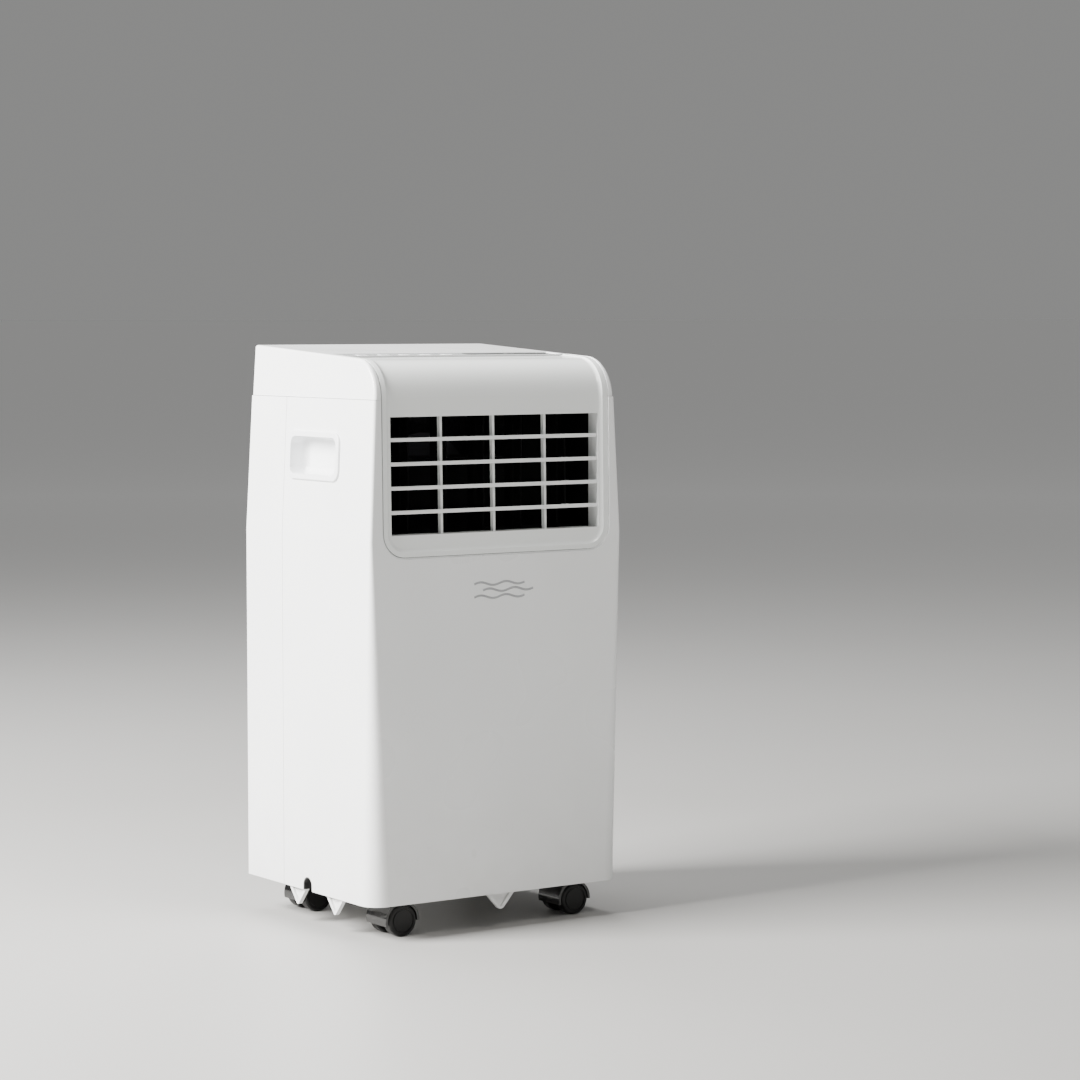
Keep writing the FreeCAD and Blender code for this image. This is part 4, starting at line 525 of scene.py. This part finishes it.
# %% The tree for a comb of thin plates with a wavy edge
def make_comb_tree():
    tree, given, made = geometry_tree("coil_comb", {
        "Plates": ("NodeSocketInt", 10), "Pitch": ("NodeSocketFloat", 0.002),
        "Thick": ("NodeSocketFloat", 0.0003), "Depth": ("NodeSocketFloat", 0.001),
        "Height": ("NodeSocketFloat", 0.1), "Ripple": ("NodeSocketFloat", 0.0003)})
    size = given.outputs
    offset = geometry_node(tree, "ShaderNodeCombineXYZ", {"X": size["Pitch"]})
    rows = geometry_node(tree, "GeometryNodeMeshLine", {"Count": size["Plates"], "Offset": offset.outputs[0]},
                         mode="OFFSET")
    form = geometry_node(tree, "ShaderNodeCombineXYZ",
                         {"X": size["Thick"], "Y": size["Depth"], "Z": size["Height"]})
    plate = geometry_node(tree, "GeometryNodeMeshCube", {"Size": form.outputs[0], "Vertices Z": 40})
    place = geometry_node(tree, "GeometryNodeInputPosition")
    split = geometry_node(tree, "ShaderNodeSeparateXYZ", {0: place.outputs[0]})
    wave = math_node(tree, "SINE", math_node(tree, "MULTIPLY", split.outputs["Z"], 250.0))
    sway = geometry_node(tree, "ShaderNodeCombineXYZ", {"X": math_node(tree, "MULTIPLY", wave, size["Ripple"])})
    rippled = geometry_node(tree, "GeometryNodeSetPosition",
                            {"Geometry": plate.outputs["Mesh"], "Offset": sway.outputs[0]})
    laid = geometry_node(tree, "GeometryNodeInstanceOnPoints",
                         {"Points": rows.outputs["Mesh"], "Instance": rippled.outputs["Geometry"]})
    end_tree(tree, made, laid.outputs["Instances"], FINISH["coil_fins"])
    return tree


COMB = make_comb_tree()
FIN_PITCH = 2.2 * MM
FIN_PROUD = 1.6 * MM


def comb_coil(node, name, half_width):
    low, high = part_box(node)
    plates = int(2 * half_width / FIN_PITCH)
    height = high[2] - low[2] - 4 * MM
    mesh = grown_mesh(COMB, Plates=plates, Pitch=FIN_PITCH, Thick=0.4 * MM, Depth=2 * FIN_PROUD,
                      Height=height, Ripple=0.25 * MM)
    start = Vector((-(plates - 1) * FIN_PITCH / 2, high[1], (low[2] + high[2]) / 2))
    grown_piece(mesh, name, "casing", "coil_fins", Matrix.Translation(start))


COIL_HALF = 117.0 * MM
comb_coil("evaporator_coil", "evaporator_fins", COIL_HALF)
comb_coil("condenser_coil", "condenser_fins", COIL_HALF)


# %% [markdown]
# ## Finger grips on the filter panel
# The filter panel is drawn open at its head by two ribbed grips. Each grip is a few
# level ribs, so the same rule of copies at a pitch makes them.

# %% The tree for rounded ribs
def make_rib_tree():
    tree, given, made = geometry_tree("grip_ribs", {
        "Ribs": ("NodeSocketInt", 4), "Pitch": ("NodeSocketFloat", 0.0016),
        "Length": ("NodeSocketFloat", 0.024), "Radius": ("NodeSocketFloat", 0.0005)})
    size = given.outputs
    offset = geometry_node(tree, "ShaderNodeCombineXYZ", {"Z": size["Pitch"]})
    rows = geometry_node(tree, "GeometryNodeMeshLine", {"Count": size["Ribs"], "Offset": offset.outputs[0]},
                         mode="OFFSET")
    end = geometry_node(tree, "ShaderNodeCombineXYZ", {"X": size["Length"]})
    line = geometry_node(tree, "GeometryNodeCurvePrimitiveLine", {"End": end.outputs[0]})
    ring = geometry_node(tree, "GeometryNodeCurvePrimitiveCircle", {"Resolution": 10, "Radius": size["Radius"]})
    rib = geometry_node(tree, "GeometryNodeCurveToMesh",
                        {"Curve": line.outputs["Curve"], "Profile Curve": ring.outputs["Curve"], "Fill Caps": True})
    laid = geometry_node(tree, "GeometryNodeInstanceOnPoints",
                         {"Points": rows.outputs["Mesh"], "Instance": rib.outputs["Mesh"]})
    end_tree(tree, made, laid.outputs["Instances"], FINISH["grille_white"])
    return tree


RIBS = make_rib_tree()
RIB_LENGTH = 26.0 * MM
PANEL_LOW, PANEL_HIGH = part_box("filter_panel")
REAR_FACE = max(v.co.y for v in NODES["filter_panel"].data.vertices if v.co.z > PANEL_HIGH[2] - 1 * MM)
for side, middle in (("left", -70.0 * MM), ("right", 70.0 * MM)):
    ribs = grown_mesh(RIBS, Ribs=4, Pitch=1.6 * MM, Length=RIB_LENGTH, Radius=0.55 * MM)
    spot = Vector((middle - RIB_LENGTH / 2, REAR_FACE, PANEL_HIGH[2] - 7.2 * MM))
    grown_piece(ribs, "filter_grip_" + side, "filter_door", "grille_white", Matrix.Translation(spot))


# %% [markdown]
# ## The mark on the front
# A machine of this kind has a small mark under its outlet. Here it is three lines of
# moving air, thin inlays that stand a hair proud of the wall. Each line is a wave on
# a flat ribbon, and the three are copies, the middle one shifted to the right.

# %% The tree for wavy ribbons
def make_breeze_tree():
    tree, given, made = geometry_tree("breeze_lines", {
        "Lines": ("NodeSocketInt", 3), "Pitch": ("NodeSocketFloat", 0.008),
        "Length": ("NodeSocketFloat", 0.07), "Swing": ("NodeSocketFloat", 0.0024),
        "Waves": ("NodeSocketFloat", 2.0), "Width": ("NodeSocketFloat", 0.0028),
        "Thick": ("NodeSocketFloat", 0.0004), "Shift": ("NodeSocketFloat", 0.010)})
    size = given.outputs
    index = geometry_node(tree, "GeometryNodeInputIndex").outputs[0]
    odd = math_node(tree, "MODULO", index, 2.0)
    rows = geometry_node(tree, "GeometryNodeMeshLine", {"Count": size["Lines"], "Offset": (0.0, 0.0, 0.0)},
                         mode="OFFSET")
    step = geometry_node(tree, "ShaderNodeCombineXYZ",
                         {"X": math_node(tree, "MULTIPLY", odd, size["Shift"]),
                          "Z": math_node(tree, "MULTIPLY", index, size["Pitch"])})
    spread = geometry_node(tree, "GeometryNodeSetPosition",
                           {"Geometry": rows.outputs["Mesh"], "Offset": step.outputs[0]})
    end = geometry_node(tree, "ShaderNodeCombineXYZ", {"X": size["Length"]})
    line = geometry_node(tree, "GeometryNodeCurvePrimitiveLine", {"End": end.outputs[0]})
    fine = geometry_node(tree, "GeometryNodeResampleCurve", {"Curve": line.outputs["Curve"], "Count": 49})
    along = geometry_node(tree, "GeometryNodeSplineParameter").outputs["Factor"]
    turns = math_node(tree, "MULTIPLY", math_node(tree, "MULTIPLY", along, size["Waves"]), 2 * math.pi)
    rise = geometry_node(tree, "ShaderNodeCombineXYZ",
                         {"Z": math_node(tree, "MULTIPLY", math_node(tree, "SINE", turns), size["Swing"])})
    waved = geometry_node(tree, "GeometryNodeSetPosition",
                          {"Geometry": fine.outputs["Curve"], "Offset": rise.outputs[0]})
    outline = geometry_node(tree, "GeometryNodeCurvePrimitiveQuadrilateral",
                            {"Width": size["Width"], "Height": size["Thick"]})
    ribbon = geometry_node(tree, "GeometryNodeCurveToMesh",
                           {"Curve": waved.outputs["Geometry"], "Profile Curve": outline.outputs["Curve"],
                            "Fill Caps": True})
    laid = geometry_node(tree, "GeometryNodeInstanceOnPoints",
                         {"Points": spread.outputs["Geometry"], "Instance": ribbon.outputs["Mesh"]})
    end_tree(tree, made, laid.outputs["Instances"], FINISH["plug_grey"])
    return tree


BREEZE = make_breeze_tree()
MARK_LEFT, MARK_LOW = -34.0 * MM, 390.0 * MM
lines = grown_mesh(BREEZE, Lines=3, Pitch=7.6 * MM, Length=70.0 * MM, Swing=1.8 * MM, Waves=2.0,
                   Width=0.7 * MM, Thick=2.6 * MM, Shift=12.0 * MM)
FRONT_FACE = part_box("front_shell")[0][1]
grown_piece(lines, "front_mark", "casing", "plug_grey",
            Matrix.Translation(Vector((MARK_LEFT, FRONT_FACE + 0.3 * MM, MARK_LOW))))


# %% [markdown]
# ## Black liners of the side notches, as painted shade
# At the foot of each side wall a half-round notch gives fingers a hold and lets air
# and a cord pass. A black cup with the rubber finish lines it: painted shade, a dark lining that
# stands in for the shade deep in the notch. The outline is an arch, so it is built from one arc, and its wall is the
# same arc moved in.

# %% An arch cup of painted shade for each notch
NOTCH_R = 9.9 * MM
NOTCH_TOP = 6.0 * MM
LINER_WALL = 1.8 * MM
LINER_DEPTH = 14.0 * MM
LINER_STEPS = 20


def arch_points(radius, foot):
    points = [(-radius, foot)]
    for step in range(LINER_STEPS + 1):
        turn = math.pi * (1 - step / LINER_STEPS)
        points.append((radius * math.cos(turn), NOTCH_TOP + radius * math.sin(turn)))
    points.append((radius, foot))
    return points


# The black cup is painted shade: it darkens the notch where its inside lies in shade.
def notch_shade_liner(side, name):
    foot_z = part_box("front_shell")[0][2]
    wall_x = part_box("front_shell")[1][0]
    loops = [(NOTCH_R, 0.0), (NOTCH_R - LINER_WALL, 0.0), (NOTCH_R - LINER_WALL, LINER_DEPTH - LINER_WALL),
             (NOTCH_R, LINER_DEPTH)]
    bm = bmesh.new()
    rings = []
    for radius, inward in loops:
        x = side * (wall_x - 0.4 * MM - inward)
        rings.append([bm.verts.new((x, y, foot_z + z)) for y, z in arch_points(radius, 0.3 * MM)])
    for first, second in ((0, 1), (1, 2), (3, 0)):
        for a, b, c, d in zip(rings[first], rings[first][1:], rings[second][1:], rings[second]):
            bm.faces.new((a, b, c, d))
    bm.faces.new(rings[2])
    bm.faces.new(rings[3])
    for end in (0, -1):
        bm.faces.new([rings[index][end] for index in (0, 1, 2, 3)])
    floor = [rings[2][0], rings[2][-1], rings[3][-1], rings[3][0]]
    bm.faces.new(floor)
    return piece_from(bm, name, FINISH["rubber_black"], "casing", smooth=False)


notch_shade_liner(-1, "notch_liner_left")
notch_shade_liner(1, "notch_liner_right")


# %% [markdown]
# ## Marks on the keys and the display
# Each key carries a thin printed sign that anyone can read: a power ring, a sun for
# the mode, a fan, and two arrows. The display shows two digits built from bars. Signs
# lie on the sloping top, so each is drawn flat and laid on the plane of its key.

# %% Lay a flat outline on the sloping top
def top_plane(node):
    """Matrix that lays a level drawing on the sloping upper face of a node."""
    low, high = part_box(node)
    ridge = [v.co for v in NODES[node].data.vertices]
    slope = math.radians(3.27)
    middle = Vector(((low[0] + high[0]) / 2, (low[1] + high[1]) / 2, 0.0))
    normal = Vector((0.0, -math.sin(slope), math.cos(slope)))
    level = max(normal.dot(point) for point in ridge)
    middle.z = (level - normal.y * middle.y) / normal.z
    return Matrix.Translation(middle) @ Matrix.Rotation(slope, 4, "X")


SIGN_THICK = 0.10 * MM


def flat_bar(bm, corners):
    """Thin plate over an outline of (x, y) points in millimetres."""
    low = [bm.verts.new((x * MM, y * MM, -SIGN_THICK)) for x, y in corners]
    high = [bm.verts.new((x * MM, y * MM, SIGN_THICK)) for x, y in corners]
    bm.faces.new(low[::-1])
    bm.faces.new(high)
    for index in range(len(corners)):
        after = (index + 1) % len(corners)
        bm.faces.new((low[index], low[after], high[after], high[index]))


def arc_band(bm, radius, width, start, end, steps=24):
    inner = [(radius * math.cos(a), radius * math.sin(a)) for a in spread(start, end, steps)]
    outer = [((radius + width) * math.cos(a), (radius + width) * math.sin(a)) for a in spread(start, end, steps)]
    for a, b, c, d in zip(inner, outer, outer[1:], inner[1:]):
        flat_bar(bm, [a, b, c, d])


def spread(start, end, steps):
    return [math.radians(start + (end - start) * index / steps) for index in range(steps + 1)]


def turned(corners, degrees):
    c, s = math.cos(math.radians(degrees)), math.sin(math.radians(degrees))
    return [(x * c - y * s, x * s + y * c) for x, y in corners]


# %% The five signs
def sign_power(bm):
    arc_band(bm, 2.2, 0.5, -240, 60)
    flat_bar(bm, [(-0.25, 0.6), (0.25, 0.6), (0.25, 3.2), (-0.25, 3.2)])


def sign_mode(bm):
    arc_band(bm, 1.1, 0.45, 0, 360)
    for index in range(8):
        flat_bar(bm, turned([(2.1, -0.2), (3.1, -0.2), (3.1, 0.2), (2.1, 0.2)], 45 * index))


def sign_fan(bm):
    for index in range(3):
        blade = [(0.4, -0.3), (1.6, -1.0), (2.9, -0.7), (3.1, 0.2), (2.2, 0.6), (0.9, 0.4)]
        flat_bar(bm, turned(blade, 90 + 120 * index))
    flat_bar(bm, [(0.35 * math.cos(a), 0.35 * math.sin(a)) for a in spread(0, 330, 11)])


def sign_down(bm):
    flat_bar(bm, [(-2.4, 1.2), (0.0, -1.8), (2.4, 1.2), (1.6, 1.2), (0.0, -0.8), (-1.6, 1.2)][::-1])


def sign_up(bm):
    flat_bar(bm, [(-2.4, -1.2), (-1.6, -1.2), (0.0, 0.8), (1.6, -1.2), (2.4, -1.2), (0.0, 1.8)][::-1])


SIGNS = {"power": sign_power, "mode": sign_mode, "fan": sign_fan, "down": sign_down, "up": sign_up}
for key, draw in SIGNS.items():
    sign = bmesh.new()
    draw(sign)
    sign.transform(top_plane("button_" + key))
    piece_from(sign, "sign_" + key, FINISH["plug_grey"], "key_" + key, smooth=False)


# %% Two digits of seven bars, unlit except for a faint grey
BARS = {
    "top": [(-1.6, 3.4), (1.6, 3.4), (2.0, 3.0), (1.6, 2.6), (-1.6, 2.6), (-2.0, 3.0)],
    "middle": [(-1.6, 0.4), (1.6, 0.4), (2.0, 0.0), (1.6, -0.4), (-1.6, -0.4), (-2.0, 0.0)],
    "side": [(2.2, 2.8), (2.6, 2.4), (2.6, 0.6), (2.2, 0.2), (1.8, 0.6), (1.8, 2.4)],
}


def digit(bm, x, names):
    for name in names:
        part, _, where = name.partition("_")
        flip_x = -1 if "left" in where else 1
        flip_y = -1 if "low" in where else 1
        outline = [(x + flip_x * u, flip_y * v) for u, v in BARS[part]]
        flat_bar(bm, outline if flip_x * flip_y < 0 else outline[::-1])


DIGITS = bmesh.new()
digit(DIGITS, -4.0, ["top", "side_right", "middle", "side_left_low", "top_low"])
digit(DIGITS, 4.0, ["side_left", "side_right", "middle", "side_right_low"])
DIGITS.transform(top_plane("display_window"))
piece_from(DIGITS, "display_digits", FINISH["box_grey"], "casing", smooth=False)


# %% [markdown]
# ## Room: a pale floor, soft light and the camera
# A studio sweep keeps the eye on the machine. A large soft light on its left makes
# the left side almost white, and a weaker fill from the right falls on the top of
# the front more than on its foot, as the light of a room with one window does.

# %% Floor
def make_floor():
    bm = bmesh.new()
    bmesh.ops.create_grid(bm, x_segments=1, y_segments=1, size=400.0)
    mesh = bpy.data.meshes.new("floor")
    bm.to_mesh(mesh)
    bm.free()
    floor = bpy.data.objects.new("floor", mesh)
    bpy.context.scene.collection.objects.link(floor)
    material, tree, shader = start_finish("floor_pale", 0.5)
    texture = place_group(tree, GRAIN, Scale=40.0, Drift_Scale=1.5)
    near = mix_colours(tree, texture.outputs["Drift"], (0.40, 0.395, 0.385), (0.37, 0.365, 0.355))
    place = tree.nodes.new("ShaderNodeTexCoord")
    reach = tree.nodes.new("ShaderNodeVectorMath")
    reach.operation = "LENGTH"
    tree.links.new(place.outputs["Object"], reach.inputs[0])
    far = range_node(tree, reach.outputs["Value"], 0.0, 1.0, (1.0, 9.0))
    colour = mix_colours(tree, far, near, (0.99, 0.99, 0.985))
    tree.links.new(colour, shader.inputs["Base Color"])
    mesh.materials.append(material)
    print("floor is plain and pale")


make_floor()


# %% Lights and the world
def soft_light(name, place, target, size, power, colour=(1.0, 1.0, 1.0)):
    data = bpy.data.lights.new(name, "AREA")
    data.shape = "SQUARE"
    data.size = size
    data.energy = power
    data.color = colour
    light = bpy.data.objects.new(name, data)
    bpy.context.scene.collection.objects.link(light)
    light.location = place
    light.rotation_euler = (Vector(target) - Vector(place)).to_track_quat("-Z", "Y").to_euler()
    print(name, "light gives", power, "W")


MIDDLE = (0.0, 0.0, 0.35)
soft_light("window", (-2.3, 0.35, 1.85), (0.0, 0.0, 0.62), 1.4, 470.0, (1.0, 0.99, 0.97))
soft_light("fill", (0.4, -1.7, 2.3), (0.0, 0.0, 0.75), 0.6, 20.0, (1.0, 0.985, 0.95))
soft_light("top", (0.1, 1.3, 2.8), (0.0, 0.0, 0.65), 1.8, 75.0)
world = bpy.data.worlds.new("studio")
world.use_nodes = True
world.node_tree.nodes["Background"].inputs["Color"].default_value = (0.80, 0.80, 0.79, 1.0)
world.node_tree.nodes["Background"].inputs["Strength"].default_value = 0.33
bpy.context.scene.world = world


# %% Camera, at the height of a seated person and turned to show the left side
CAMERA_PLACE = Vector((-2.0454, -3.1987, 0.7147))
CAMERA_TURN = math.radians(34.54)
CAMERA_DIP = math.radians(4.04)
camera_data = bpy.data.cameras.new("camera")
camera_data.lens = 106.27
camera = bpy.data.objects.new("camera", camera_data)
bpy.context.scene.collection.objects.link(camera)
camera.location = CAMERA_PLACE
ahead = Vector((math.sin(CAMERA_TURN) * math.cos(CAMERA_DIP),
                math.cos(CAMERA_TURN) * math.cos(CAMERA_DIP), -math.sin(CAMERA_DIP)))
camera.rotation_euler = ahead.to_track_quat("-Z", "Y").to_euler()
bpy.context.scene.camera = camera
print("camera is", round((CAMERA_PLACE - Vector(MIDDLE)).length, 2), "m from the machine")
